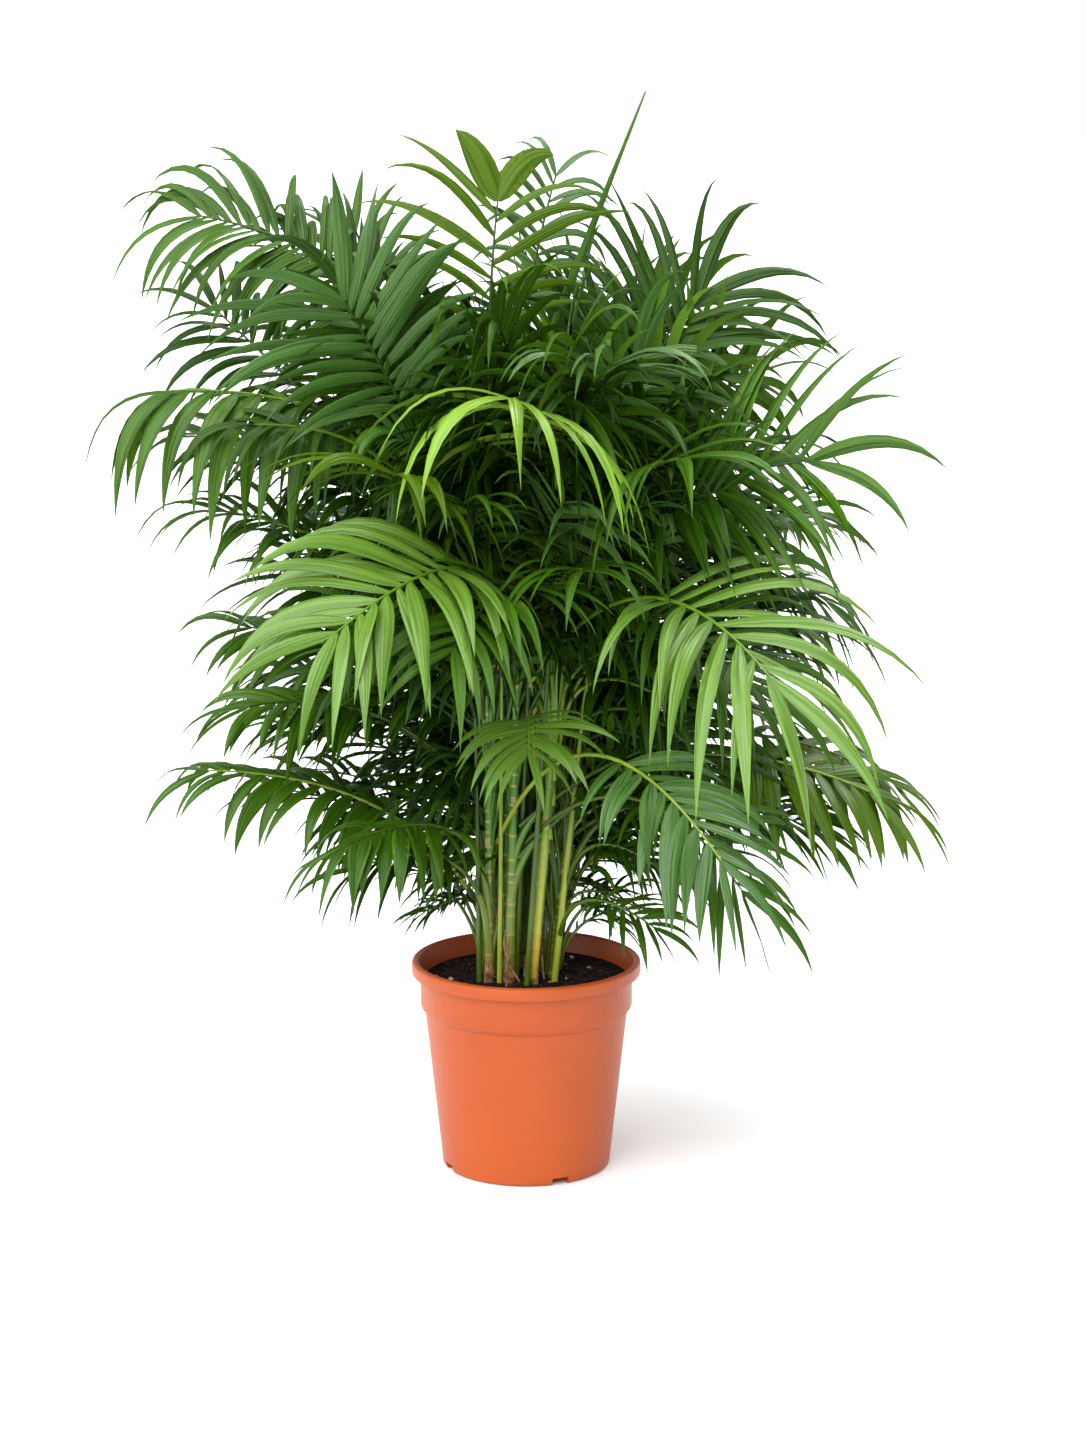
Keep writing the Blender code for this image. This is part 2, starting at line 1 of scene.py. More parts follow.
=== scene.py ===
# %% [markdown]
# A parlour palm in its plastic nursery pot, finished in Blender around a fixed frame of plain solids.
#
# The frame holds every cane, every frond as a coarse solid, the pot and its soil, at their real size.
# Here each gets the surface that the eye expects: fine leaflets on slim ribs, ringed canes, a moulded pot
# and crumbly soil. Each step says what the real thing is, how it is made, and why this way was picked.

# %% Load the frame
import random
from math import atan2, cos, degrees, exp, hypot, pi, radians, sin, sqrt

import bmesh
import bpy
import numpy as np
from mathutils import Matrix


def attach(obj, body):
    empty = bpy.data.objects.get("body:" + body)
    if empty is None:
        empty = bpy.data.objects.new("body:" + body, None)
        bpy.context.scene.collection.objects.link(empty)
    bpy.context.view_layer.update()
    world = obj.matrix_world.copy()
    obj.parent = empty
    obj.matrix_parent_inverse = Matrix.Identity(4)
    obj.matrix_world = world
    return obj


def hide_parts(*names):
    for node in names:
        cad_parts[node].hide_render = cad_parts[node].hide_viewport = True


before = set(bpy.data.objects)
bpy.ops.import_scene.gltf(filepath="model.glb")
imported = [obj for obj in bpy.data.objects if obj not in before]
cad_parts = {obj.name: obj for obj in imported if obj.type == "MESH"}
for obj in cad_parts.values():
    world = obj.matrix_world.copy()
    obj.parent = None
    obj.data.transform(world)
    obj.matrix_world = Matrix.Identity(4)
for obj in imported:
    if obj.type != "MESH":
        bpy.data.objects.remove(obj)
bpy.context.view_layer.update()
ROOT = "root"
scene = bpy.context.scene
print("frame loaded:", len(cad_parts), "nodes")

# %% [markdown]
# Colours are written as sRGB hex values, as a colour picker shows them, and one function turns them into
# the linear light that Blender's shaders want. A second one adds a shader node, sets its sockets and
# wires it up, so that each material below reads as a short list.

# %% Colour and node helpers
def linear(hex_colour):
    """An sRGB hex colour as linear red, green, blue and alpha."""
    parts = [int(hex_colour[k:k + 2], 16) / 255 for k in (1, 3, 5)]
    return [p / 12.92 if p <= 0.04045 else ((p + 0.055) / 1.055) ** 2.4 for p in parts] + [1.0]


def node(tree, kind, sockets=None, links=None, stops=(), **settings):
    """Adds a shader node with its sockets' values, its incoming links, its colour stops and settings."""
    made = tree.nodes.new(kind)
    for key, value in settings.items():
        setattr(made, key, value)
    for key, value in (sockets or {}).items():
        made.inputs[key].default_value = value
    for key, source in (links or {}).items():
        tree.links.new(source, made.inputs[key])
    while stops and len(made.color_ramp.elements) < len(stops):
        made.color_ramp.elements.new(0.5)
    for number, (place, colour) in enumerate(stops):
        made.color_ramp.elements[number].position = place
        made.color_ramp.elements[number].color = linear(colour)
    return made


def new_material(name, roughness, specular=0.5):
    """A material, its tree and its shader."""
    made = bpy.data.materials.new(name)
    made.use_nodes = True
    shader = made.node_tree.nodes["Principled BSDF"]
    shader.inputs["Roughness"].default_value = roughness
    shader.inputs["Specular IOR Level"].default_value = specular
    return made, made.node_tree, shader


def speckled(name, roughness, specular, scale, detail, stops, coarseness=0.5):
    """A material coloured by noise on the Object coordinates, its tree, its shader and the noise."""
    made, tree, shader = new_material(name, roughness, specular)
    place = {"Vector": node(tree, "ShaderNodeTexCoord").outputs["Object"]}
    grain = {"Scale": scale, "Detail": detail, "Roughness": coarseness}
    value = node(tree, "ShaderNodeTexNoise", grain, place).outputs["Fac"]
    colour = node(tree, "ShaderNodeValToRGB", links={"Fac": value}, stops=stops)
    tree.links.new(colour.outputs["Color"], shader.inputs["Base Color"])
    return made, tree, shader, value


print("helpers ready")

# %% [markdown]
# The camera looks down a little through a long lens, so that the rim shows as a shallow ellipse. The room
# is a white studio: pale walls, a dimmer ceiling, a broad soft key light from the upper left and a weaker
# one from behind, which puts a sheen on the leaves.

# %% Camera, floor and light
CAMERA_PLACE = (0.019, -3.60, 1.222)
CAMERA_TILT = radians(90 - 11.18)
LENS = 81.55
FRAME_SIDE = 36
WALL_TOP = 0.10
WALL_FADE = 0.2
FLOOR_SIZE = 120
CEILING_LIGHT = 0.5

camera_data = bpy.data.cameras.new("camera")
camera_data.sensor_fit = "VERTICAL"
camera_data.sensor_height = FRAME_SIDE
camera_data.lens = LENS
camera = bpy.data.objects.new("camera", camera_data)
camera.location = CAMERA_PLACE
camera.rotation_euler = (CAMERA_TILT, 0, 0)
scene.collection.objects.link(camera)
scene.camera = camera

bpy.ops.mesh.primitive_plane_add(size=FLOOR_SIZE, location=(0, 0, 0))
floor = bpy.context.object
floor.name = "floor"
# Matt white paint: even and almost without gloss, so that only the shadow shows on it.
floor_paint, tree, shader = new_material("matt_white_floor", 0.8, 0.1)
shader.inputs["Base Color"].default_value = linear("#e6e6e6")
floor.data.materials.append(floor_paint)

world = bpy.data.worlds.new("white_room")
world.use_nodes = True
room = world.node_tree
way = node(room, "ShaderNodeTexCoord")
height = node(room, "ShaderNodeSeparateXYZ", links={"Vector": way.outputs["Generated"]})
fade = {"From Min": WALL_TOP, "From Max": WALL_TOP + WALL_FADE, "To Min": 1.0, "To Max": CEILING_LIGHT}
walls = node(room, "ShaderNodeMapRange", fade, {"Value": height.outputs["Z"]})
room.links.new(walls.outputs["Result"], room.nodes["Background"].inputs["Strength"])
room.nodes["Background"].inputs["Color"].default_value = linear("#ffffff")
scene.world = world
scene.view_settings.view_transform = "Standard"


def soft_light(name, heading, tilt, strength, spread):
    """A far, wide light from this compass heading and height in degrees."""
    data = bpy.data.lights.new(name, "SUN")
    data.energy = strength
    data.angle = radians(spread)
    light = bpy.data.objects.new(name, data)
    light.rotation_euler = (radians(90 - tilt), 0, radians(heading + 90))
    scene.collection.objects.link(light)


soft_light("key", 235, 54, 7.0, 95)
soft_light("back", 60, 48, 1.3, 30)
print("camera, floor and light set")

# %% [markdown]
# The plant grows by the rule that also made the frame's coarse solids, so the fine leaflets grow from
# the same ribs and reach as far. The canes stand in a tight clump, set out by the golden angle. A frond's
# stem and rib are one parabola, from the cane through the neck, where the leaflets begin, to the tip.

# %% The canes' rule
SOIL_TOP = 0.218
GAP = 0.0003
GOLDEN_ANGLE = 137.5
CLUMP_SPACING = 0.0135
CANE_LEAN = 0.055
CANE_BOW = 0.020
CLUMP_SHIFT = -0.012
CLUMP_DRIFT = 0.045
CANE_TAPER = 0.45
CANE_POINTS = 6
FOOT_STRETCH = 0.004
# Height of the top, radius at the soil
CANES = [
    (0.760, 0.0076), (0.620, 0.0062), (0.700, 0.0058), (0.580, 0.0062), (0.660, 0.0052),
    (0.520, 0.0056), (0.600, 0.0050), (0.480, 0.0052), (0.550, 0.0048), (0.420, 0.0048),
]


def unit(vector):
    vector = np.asarray(vector, float)
    return vector / np.linalg.norm(vector)


def compass(heading, tilt=0.0):
    """The unit vector with this heading round +Z, from +X, and this tilt above level."""
    a = radians(heading)
    b = radians(tilt)
    return np.array([cos(a) * cos(b), sin(a) * cos(b), sin(b)])


def heading_of(vector):
    return degrees(atan2(vector[1], vector[0]))


def upright_turn(angle):
    """The matrix of a turn about the upright."""
    c, s = cos(angle), sin(angle)
    return np.array([[c, -s, 0], [s, c, 0], [0, 0, 1]])


def on_parabola(start, control, tip, t):
    return (1 - t) ** 2 * start + 2 * t * (1 - t) * control + t * t * tip


def steps_of(path):
    return np.linalg.norm(np.diff(path, axis=0), axis=1)


def read_off(path, marks, wanted):
    """The path's points, each known at its mark, read off at other marks."""
    return np.stack([np.interp(wanted, marks, path[:, axis]) for axis in range(3)], axis=1)


def circle(sides):
    return np.linspace(0, 2 * pi, sides, endpoint=False)


UP = compass(0, 90)


def square_to(vector, along):
    """The vector's part square to the unit vector along, made a unit vector."""
    return unit(vector - vector.dot(along) * along)


def cane_centre(index, height):
    rise = height - SOIL_TOP
    outward = CLUMP_SPACING * sqrt(index + 0.4) + CANE_LEAN * rise + CANE_BOW * rise * rise
    centre = compass(200 + GOLDEN_ANGLE * index) * outward
    return centre + np.array([CLUMP_SHIFT + CLUMP_DRIFT * rise, 0, height])


def cane_radius(index, height):
    top, foot_radius = CANES[index]
    return foot_radius * (1 - CANE_TAPER * (height - SOIL_TOP) / (top - SOIL_TOP))


def cane_path(index):
    """The cane's middle line and radii. Its first stretch is upright, so that its foot is cut level."""
    foot = SOIL_TOP + GAP
    heights = np.array([foot, *np.linspace(foot + FOOT_STRETCH, CANES[index][0], CANE_POINTS)])
    centres = np.array([cane_centre(index, z) for z in heights])
    centres[0, :2] = centres[1, :2]
    return centres, np.array([cane_radius(index, z) for z in heights])


print(len(CANES), "canes")

# %% The fronds' rule
SPEAR_TIP = (0.130, 0.020, 1.205)
SPEAR_BEND = 0.05
SPEAR_FOOT_GAP = 0.0012
SPEAR_POINTS = 9
SPEAR_MARKS = (0.00, 0.40, 0.65, 0.85, 1.00)
SPEAR_RADII = (0.0028, 0.0030, 0.0043, 0.0028, 0.0006)
STEM_RADIUS = 0.0026
NECK_RADIUS = 0.0021
RIB_TIP_RADIUS = 0.0010
ROUTE_SPACING = 0.004
ROUTE_CLEARANCE = 0.0020
ROUTE_TRIES = 200
MOST_TURN = 110
MOST_SLIP = 0.05
MOST_SHIFT = 0.04

FRONDS = {
    # Cane, height on it, neck (x, y, z) and tip of the rib (x, y, z) in centimetres,
    # heading and tilt of the upper side, leaflet in millimetres, hang
    "crown_fan": (0, 70, -4, -3, 93, -3, -1, 109, 270, 35, 140, 0.9),
    "crown_curl": (2, 66, 0, 6, 98, 3, 10, 111, 280, 30, 105, 1.4),
    "crown_dark": (0, 70, 5, 4, 86, 8, 7, 95, 270, 20, 125, 0.4),
    "left_top": (2, 62, -20, 6, 101, -36, 7, 107, 255, 50, 130, 1.1),
    "left_heart": (0, 64, -13, -8, 87, -19, -13, 99, 262, 25, 160, 0.6),
    "left_mid": (4, 58, -26, 10, 88, -35, 14, 96, 240, 60, 130, 1.3),
    "back_left": (2, 58, -15, 15, 94, -20, 21, 104, 290, 30, 120, 0.8),
    "left_arch": (1, 56, -19, -2, 85, -38, -7, 89, 235, 70, 155, 1.9),
    "left_shade": (6, 54, -20, 8, 77, -35, 10, 82, 230, 70, 150, 1.5),
    "left_low_arch": (1, 50, -19, 2, 70, -33, 0, 75, 235, 70, 140, 1.5),
    "left_broad": (0, 56, -5, -14, 70, -19, -33, 67, 262, 50, 175, 0.9),
    "left_side": (3, 48, -17, 5, 57, -31, 6, 61, 235, 65, 130, 1.1),
    "left_side_low": (5, 42, -17, -4, 53, -30, -10, 55, 240, 70, 135, 1.1),
    "left_back": (5, 40, -15, 10, 53, -27, 13, 55, 215, 75, 140, 1.1),
    "low_left": (5, 29, -10, -2, 37, -35, -6, 47, 235, 70, 130, 1.3),
    "low_left_near": (8, 34, -8, -10, 41, -19, -20, 42, 240, 65, 130, 1.3),
    "low_left_back": (2, 36, -12, 10, 44, -25, 15, 48, 215, 75, 135, 1.2),
    "right_crown": (4, 62, 11, 0, 86, 19, 4, 98, 270, 30, 155, 1.05),
    "right_reach": (2, 54, 15, -5, 76, 30, -12, 82, 270, 38, 165, 0.7),
    "right_shade": (6, 50, 13, 6, 72, 24, 10, 72, 280, 55, 150, 1.1),
    "right_hang": (3, 52, 20, 8, 72, 34, 10, 66, 320, 65, 140, 1.0),
    "right_broad": (0, 52, 14, -17, 68, 25, -30, 62, 285, 55, 180, 0.95),
    "right_low": (7, 36, 20, -9, 48, 36, -14, 45, 290, 65, 135, 0.9),
    "right_far": (3, 40, 25, -3, 50, 41, -5, 45, 315, 70, 135, 0.8),
    "right_gloss": (5, 36, 13, -20, 50, 23, -31, 42, 290, 50, 150, 0.8),
    "lime_arch": (2, 58, 2, -13, 84, -1, -26, 90, 270, 70, 145, 1.8),
    "small_front": (1, 38, -1, -15, 54, -1, -23, 52, 270, 60, 95, 0.9),
    "heart_dark": (4, 54, -5, 3, 68, -5, 5, 76, 270, 15, 100, 0.3),
    "right_under": (7, 42, 13, -5, 55, 22, -12, 49, 290, 60, 135, 0.9),
    "right_deep": (9, 40, 9, 5, 50, 18, 8, 46, 290, 70, 130, 1.0),
    "sprout_right": (9, 26, 8, -9, 33, 14, -13, 31, 290, 60, 75, 0.8),
    "heart_left": (8, 52, -8, -7, 74, -13, -21, 82, 265, 55, 160, 1.0),
    "heart_right": (6, 58, 9, -5, 75, 16, -19, 83, 275, 55, 160, 1.0),
    "mid_left": (5, 50, -9, -7, 62, -19, -18, 64, 250, 60, 150, 1.1),
    "mid_left_back": (8, 47, -11, 5, 63, -24, 9, 68, 235, 65, 150, 1.2),
    "mid_right": (6, 46, 9, -3, 60, 21, -10, 60, 290, 60, 150, 1.0),
    "low_right": (9, 33, 11, -3, 42, 21, -5, 40, 290, 65, 110, 1.0),
    "back_high": (2, 68, 2, 16, 94, 3, 31, 100, 270, 75, 140, 1.2),
    "back_high_right": (6, 56, 12, 15, 86, 21, 29, 90, 240, 70, 140, 1.2),
    "back_right": (3, 55, 16, 15, 71, 29, 30, 70, 220, 75, 145, 1.2),
    "back_mid": (7, 46, 0, 16, 72, -3, 36, 74, 270, 80, 150, 1.2),
    "back_mid_left": (4, 50, -12, 17, 69, -24, 33, 70, 310, 75, 145, 1.2),
    "back_low": (7, 40, 4, 16, 55, 8, 36, 53, 270, 80, 145, 1.2),
    "back_low_left": (7, 45, -9, 18, 53, -17, 36, 48, 300, 75, 140, 1.2),
    "back_low_right": (9, 37, 14, 14, 50, 28, 25, 47, 230, 75, 135, 1.2),
    "back_foot": (7, 32, -1, 12, 39, -3, 25, 37, 270, 80, 115, 1.2),
}
for name, (cane, *places, heading, tilt, leaflet, hang) in FRONDS.items():
    height, *places = [k / 100 for k in places]
    FRONDS[name] = cane, height, places[:3], places[3:], (heading, tilt), leaflet / 1000, hang


def even_points(path):
    """The path's points at an even spacing, with each one's share of the way along."""
    reached = np.concatenate([[0], np.cumsum(steps_of(path))])
    wanted = np.linspace(0, reached[-1], max(2, int(reached[-1] / ROUTE_SPACING)))
    return read_off(path, reached, wanted), wanted / reached[-1]


def spaced(path, radii):
    """A route: evenly spaced points on the path, and the radius at each."""
    points, shares = even_points(path)
    return points, np.interp(shares, np.linspace(0, 1, len(radii)), radii)


class Rib:
    """A frond's stem and rib: one parabola from the cane, through the neck, to the rib's tip."""

    def __init__(self, name, turn=0.0, slip=0.0, shift=(0, 0, 0)):
        cane, height, neck, tip, face, self.leaflet, self.hang = FRONDS[name]
        self.face = compass(*face)
        self.tip = np.array(tip) + shift
        neck = np.array(neck) + shift
        height = height + slip
        axis = cane_centre(cane, height)
        way_out = neck - axis
        outward = compass(heading_of(way_out) + turn)
        self.inward = -outward
        end_reach = STEM_RADIUS
        # The stem's cut end leans with it, so its distance from the cane is fitted in a few turns.
        for fitting in range(3):
            self.start = axis + outward * (cane_radius(cane, height) + GAP + end_reach)
            to_neck = np.linalg.norm(neck - self.start)
            t = to_neck / (to_neck + np.linalg.norm(self.tip - neck))
            self.control = (neck - (1 - t) ** 2 * self.start - t * t * self.tip) / (2 * t * (1 - t))
            end_reach = STEM_RADIUS * sqrt(1 - self.along(0).dot(outward) ** 2)
        self.neck_at = t

    def point(self, t):
        return on_parabola(self.start, self.control, self.tip, t)

    def along(self, t):
        return unit((1 - t) * (self.control - self.start) + t * (self.tip - self.control))

    def radius(self, t):
        neck = self.neck_at
        return float(np.interp(t, [0, neck, 1], [STEM_RADIUS, NECK_RADIUS, RIB_TIP_RADIUS]))

    def route(self):
        path = np.array([self.point(t) for t in np.linspace(0, 1, 60)])
        points, shares = even_points(path)
        return points, np.array([self.radius(t) for t in shares])


def clear_of(route, taken, clearance=ROUTE_CLEARANCE):
    points, radii = route
    for other, other_radii in taken:
        apart = np.linalg.norm(points[:, None] - other[None], axis=2)
        if (apart - radii[:, None] - other_radii[None]).min() < clearance:
            return False
    return True


def cane_route(index):
    path, radii = cane_path(index)
    return spaced(path, radii[[0, -1]])


def spear_path():
    """The spear's middle line and radii."""
    start = cane_centre(0, CANES[0][0]) + UP * SPEAR_FOOT_GAP
    bend = start + UP * SPEAR_BEND
    tip = np.array(SPEAR_TIP)
    shares = np.linspace(0, 1, SPEAR_POINTS)
    path = np.array([on_parabola(start, bend, tip, t) for t in shares])
    return path, np.interp(shares, SPEAR_MARKS, SPEAR_RADII)


def route_fronds():
    """Each frond's rib, turned or shifted a little where it would touch another."""
    canes = [cane_route(index) for index in range(len(CANES))]
    ribs = {}
    taken = [spaced(*spear_path())]
    for name in FRONDS:
        own = FRONDS[name][0]
        others = canes[:own] + canes[own + 1:] + taken
        rng = random.Random(name)
        for attempt in range(ROUTE_TRIES):
            give = attempt / ROUTE_TRIES
            turn = give * rng.uniform(-MOST_TURN, MOST_TURN)
            slip = give * rng.uniform(-MOST_SLIP, MOST_SLIP)
            shift = [give * rng.uniform(-MOST_SHIFT, MOST_SHIFT) for axis in range(3)]
            rib = Rib(name, turn, slip, shift)
            route = rib.route()
            past_cane = route[0][4:], route[1][4:]
            if clear_of(route, others) and clear_of(past_cane, [canes[own]], GAP * 3):
                break
        ribs[name] = rib
        taken.append(route)
    return ribs


RIBS = route_fronds()
print(len(RIBS), "ribs routed")

# %% [markdown]
# Behind the fronds that give the crown its outline stand many younger and shorter ones, which make its
# inside so dark and full. Their darker tones, dealt out further on, are painted shade. Their rows are worked
# out instead of listed: round the clump by the golden angle, from the lowest to the highest, on whichever
# cane leans their way, well inside the crown's reach.

# %% Inner fronds
INNER_COUNT = 165
INNER_LOW = 0.34
INNER_HIGH = 0.85
INNER_REACH = 0.20
INNER_MIDDLE = 0.70
INNER_HALF_HEIGHT = 0.44
OPEN_FRONT_BELOW = 0.56
BACK_REACH = 1.3
BASAL_COUNT = 34


def inner_row(number):
    """An inner frond's row. The low ones leave the front of the clump open."""
    rng = random.Random(number)
    share = (number + 0.5) / INNER_COUNT
    heading = GOLDEN_ANGLE * number + rng.uniform(-25, 25)
    height = INNER_LOW + (INNER_HIGH - INNER_LOW) * share
    bulge = sqrt(1 - ((height - INNER_MIDDLE) / INNER_HALF_HEIGHT) ** 2)
    reach = INNER_REACH * bulge * rng.uniform(0.45, 1.15)
    outward = compass(heading)
    if height < OPEN_FRONT_BELOW and outward[1] < -0.3:
        outward = outward * [1, -1, 1]
    if outward[1] > 0:
        reach *= BACK_REACH
    tall = [k for k in range(len(CANES)) if CANES[k][0] > height - 0.34]
    cane = max(tall, key=lambda k: outward.dot(unit(cane_centre(k, 0.5) - cane_centre(0, 0.5) + UP)))
    low = rng.uniform(0.24, 0.32) if number < BASAL_COUNT else height - rng.uniform(0.13, 0.22)
    middle = np.array([0.012, 0.01, height])
    neck = middle + outward * reach * 0.40
    tip = middle + outward * reach + UP * (rng.uniform(-0.03, 0.05) + 0.10 * share)
    face = (heading + rng.uniform(-40, 40), 78 - 40 * share)
    leaflet = 0.108 + 0.048 * share
    return cane, min(CANES[cane][0] - 0.015, low), neck, tip, face, leaflet, 1.3


SINGLE = "crown_fan crown_curl lime_arch small_front sprout_right back_foot back_high".split()
SECOND_SCALE = 0.80
SECOND_DROP = 0.035
SECOND_TURN = 16


def second_row(name):
    """The row of a frond that stands just inside and below a named one."""
    rng = random.Random("second " + name)
    cane, height, neck, tip, face, leaflet, hang = FRONDS[name]
    turn = radians(rng.choice([-1, 1]) * rng.uniform(0.5, 1.2) * SECOND_TURN)
    scale = np.array([SECOND_SCALE, SECOND_SCALE, 1])
    drop = UP * SECOND_DROP * rng.uniform(0.6, 1.6)
    moved = [upright_turn(turn) @ (np.array(place) * scale) - drop for place in (neck, tip)]
    facing = (face[0] + degrees(turn) + rng.uniform(-20, 20), face[1])
    return cane, height - SECOND_DROP, *moved, facing, leaflet * 0.88, hang * 1.1


SHOOT_COUNT = 14
SHOOT_LEAFLET = 0.062


def shoot_row(number):
    """A small shoot's row. Most lean to the right, every third one to the left."""
    rng = random.Random(1000 + number)
    outward = compass(rng.uniform(-55, 70) if number % 3 else rng.uniform(125, 235))
    cane = max(range(len(CANES)), key=lambda k: outward.dot(cane_centre(k, SOIL_TOP)) + rng.uniform(0, 0.03))
    foot = cane_centre(cane, SOIL_TOP)
    neck = foot + outward * rng.uniform(0.020, 0.035) + UP * rng.uniform(0.05, 0.11)
    tip = foot + outward * rng.uniform(0.070, 0.105) + UP * rng.uniform(0.05, 0.13)
    face = (heading_of(outward), 75)
    return cane, SOIL_TOP + rng.uniform(0.006, 0.02), neck, tip, face, SHOOT_LEAFLET, 1.0


for name in [name for name in FRONDS if name not in SINGLE]:
    FRONDS["second_" + name] = second_row(name)
for number in range(INNER_COUNT):
    FRONDS[f"inner_{number:02d}"] = inner_row(number)
for number in range(SHOOT_COUNT):
    FRONDS[f"shoot_{number:02d}"] = shoot_row(number)
for name in FRONDS:
    if name not in RIBS:
        RIBS[name] = Rib(name)
print(len(RIBS), "ribs in all")

# %% [markdown]
# Most of the plant is many small things of one kind, so their meshes are built from arrays and joined,
# each kind apart. One helper turns what was gathered into an object that rides on the frame.

# %% Joined meshes
class Gathered:
    """Many small things of one kind, gathered for one mesh."""

    def __init__(self):
        self.vertices = []
        self.faces = []
        self.uvs = []
        self.slots = []
        self.count = 0

    def add(self, vertices, faces, uvs=None, slots=None):
        self.vertices.append(np.asarray(vertices, float))
        self.faces.extend([tuple(corner + self.count for corner in face) for face in faces])
        self.uvs.append(np.zeros((len(vertices), 2)) if uvs is None else np.asarray(uvs, float))
        self.slots.extend(slots or [0] * len(faces))
        self.count += len(vertices)

    def piece(self, name, materials, nodes=(), sharp=50):
        """Makes the object. It replaces the frame's nodes named."""
        mesh = bpy.data.meshes.new(name)
        mesh.from_pydata(np.concatenate(self.vertices).tolist(), [], self.faces)
        corners = np.empty(len(mesh.loops), int)
        mesh.loops.foreach_get("vertex_index", corners)
        layer = mesh.uv_layers.new(name="surface")
        layer.data.foreach_set("uv", np.concatenate(self.uvs)[corners].ravel())
        mesh.polygons.foreach_set("material_index", self.slots)
        for material in materials:
            mesh.materials.append(material)
        mesh.shade_smooth()
        mesh.set_sharp_from_angle(angle=radians(sharp))
        obj = bpy.data.objects.new(name, mesh)
        scene.collection.objects.link(obj)
        dress(obj, nodes)
        print(name, sum(len(face) - 2 for face in self.faces), "triangles")


def dress(obj, nodes=()):
    """The piece rides on the plant's body, and hides the nodes that it stands for."""
    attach(obj, ROOT)
    if nodes:
        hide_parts(*nodes)


def ring_faces(rings, sides, close_end=True):
    """The faces of a tube. Its first end is closed by one flat face, and its last end too where close_end is
    true.
    """
    faces = []
    for a in range(0, (rings - 1) * sides, sides):
        for s in range(sides):
            n = (s + 1) % sides
            faces.append((a + s, a + n, a + sides + n, a + sides + s))
    faces.append(tuple(range(sides))[::-1])
    if close_end:
        faces.append(tuple(range((rings - 1) * sides, rings * sides)))
    return faces


def swept(centres, radii, sides):
    """The rings of a round tube along the centres."""
    centres = np.asarray(centres, float)
    ways = np.gradient(centres, axis=0)
    ridge = np.array([1.0, 0.3, 0.1])
    angles = circle(sides)
    rings = []
    for centre, way, radius in zip(centres, ways, radii):
        along = unit(way)
        ridge = square_to(ridge, along)
        across = np.cross(along, ridge)
        rings.append(centre + radius * (np.outer(np.cos(angles), ridge) + np.outer(np.sin(angles), across)))
    return np.concatenate(rings)


print("joined meshes ready")

# %% [markdown]
# A palm's leaf is thin, leathery and satin, and the light breaks along its fine veins. Their pattern
# reads the leaflet's own texture place: across it from 0 to 1, and along it in decimetres. The paler,
# duller underside is a second material on the same mesh. Old fronds are a deep green and new ones a
# fresh light green, so there are a few tones, dealt out frond by frond. The fronds further inside the
# crown get darker tones, which is painted shade.

# %% Leaf finishes
VEINS_ACROSS = 4
VEIN_DEPTH = 0.0004
STREAKS_ACROSS = 5.0
STREAK_SCALE = 9.0

TONES = {
    # Upper side, its lighter streaks, underside, sheen of the upper side
    # The shade tone is painted shade: the darkest green, dealt to inner fronds because the crown's inside
    # lies in shadow. The deep tone is painted shade where it goes to second and inner fronds, and the plain
    # tone of older outer fronds.
    "shade": ("#0f2303", "#1d3705", "#1e3508", 0.12),
    "deep": ("#162f03", "#294806", "#2e480c", 0.15),
    "mid": ("#213f06", "#3c600e", "#3f5c12", 0.18),
    "cool": ("#274915", "#44692a", "#476229", 0.38),
    "fresh": ("#3f6117", "#5d7f2a", "#5b7830", 0.38),
    "olive": ("#2e4801", "#48640a", "#4a600d", 0.15),
    "lime": ("#517812", "#789a2a", "#6d8c28", 0.30),
}


def leaf_finish(name, upper, streak, roughness, specular):
    """Satin leaf: lengthwise veins in relief, streaks of two greens along them, a paler midrib.

    Real veins stand about a millimetre apart. These are coarser, so that they show.
    """
    made, tree, shader = new_material(name, roughness, specular)
    texture = node(tree, "ShaderNodeTexCoord")
    split = node(tree, "ShaderNodeSeparateXYZ", links={"Vector": texture.outputs["UV"]})
    across = split.outputs["X"]
    veins = node(tree, "ShaderNodeMath", {1: 2 * pi * VEINS_ACROSS}, {0: across}, operation="MULTIPLY")
    waves = node(tree, "ShaderNodeMath", links={0: veins.outputs[0]}, operation="SINE")
    stretch = {1: (STREAKS_ACROSS / STREAK_SCALE, 0.0, 0.0)}
    ways = {0: texture.outputs["UV"], 2: texture.outputs["Object"]}
    stretched = node(tree, "ShaderNodeVectorMath", stretch, ways, operation="MULTIPLY_ADD")
    grain = {"Scale": STREAK_SCALE, "Detail": 2.0}
    streaks = node(tree, "ShaderNodeTexNoise", grain, {"Vector": stretched.outputs["Vector"]})
    stops = [(0.36, upper), (0.64, streak)]
    body = node(tree, "ShaderNodeValToRGB", links={"Fac": streaks.outputs["Fac"]}, stops=stops)
    off_middle = node(tree, "ShaderNodeMath", {1: 0.5}, {0: across}, operation="SUBTRACT")
    distance = node(tree, "ShaderNodeMath", links={0: off_middle.outputs[0]}, operation="ABSOLUTE")
    fade = {"From Min": 0.015, "From Max": 0.05, "To Min": 0.55, "To Max": 0.0}
    midrib = node(tree, "ShaderNodeMapRange", fade, {"Value": distance.outputs[0]})
    layers = {"Factor": midrib.outputs["Result"], "A": body.outputs["Color"]}
    mixed = node(tree, "ShaderNodeMix", {"B": linear(streak)}, layers, data_type="RGBA")
    tree.links.new(mixed.outputs["Result"], shader.inputs["Base Color"])
    depth = {"Strength": 0.35, "Distance": VEIN_DEPTH}
    relief = node(tree, "ShaderNodeBump", depth, {"Height": waves.outputs[0]})
    tree.links.new(relief.outputs["Normal"], shader.inputs["Normal"])
    return made


LEAF = {}
for tone, (upper, streak, under, sheen) in TONES.items():
    above = leaf_finish(f"satin_leaf_{tone}", upper, streak, 0.32, sheen)
    below = leaf_finish(f"dull_underside_{tone}", under, streak, 0.62, 0.08)
    LEAF[tone] = [above, below]
print(len(LEAF), "leaf tones")

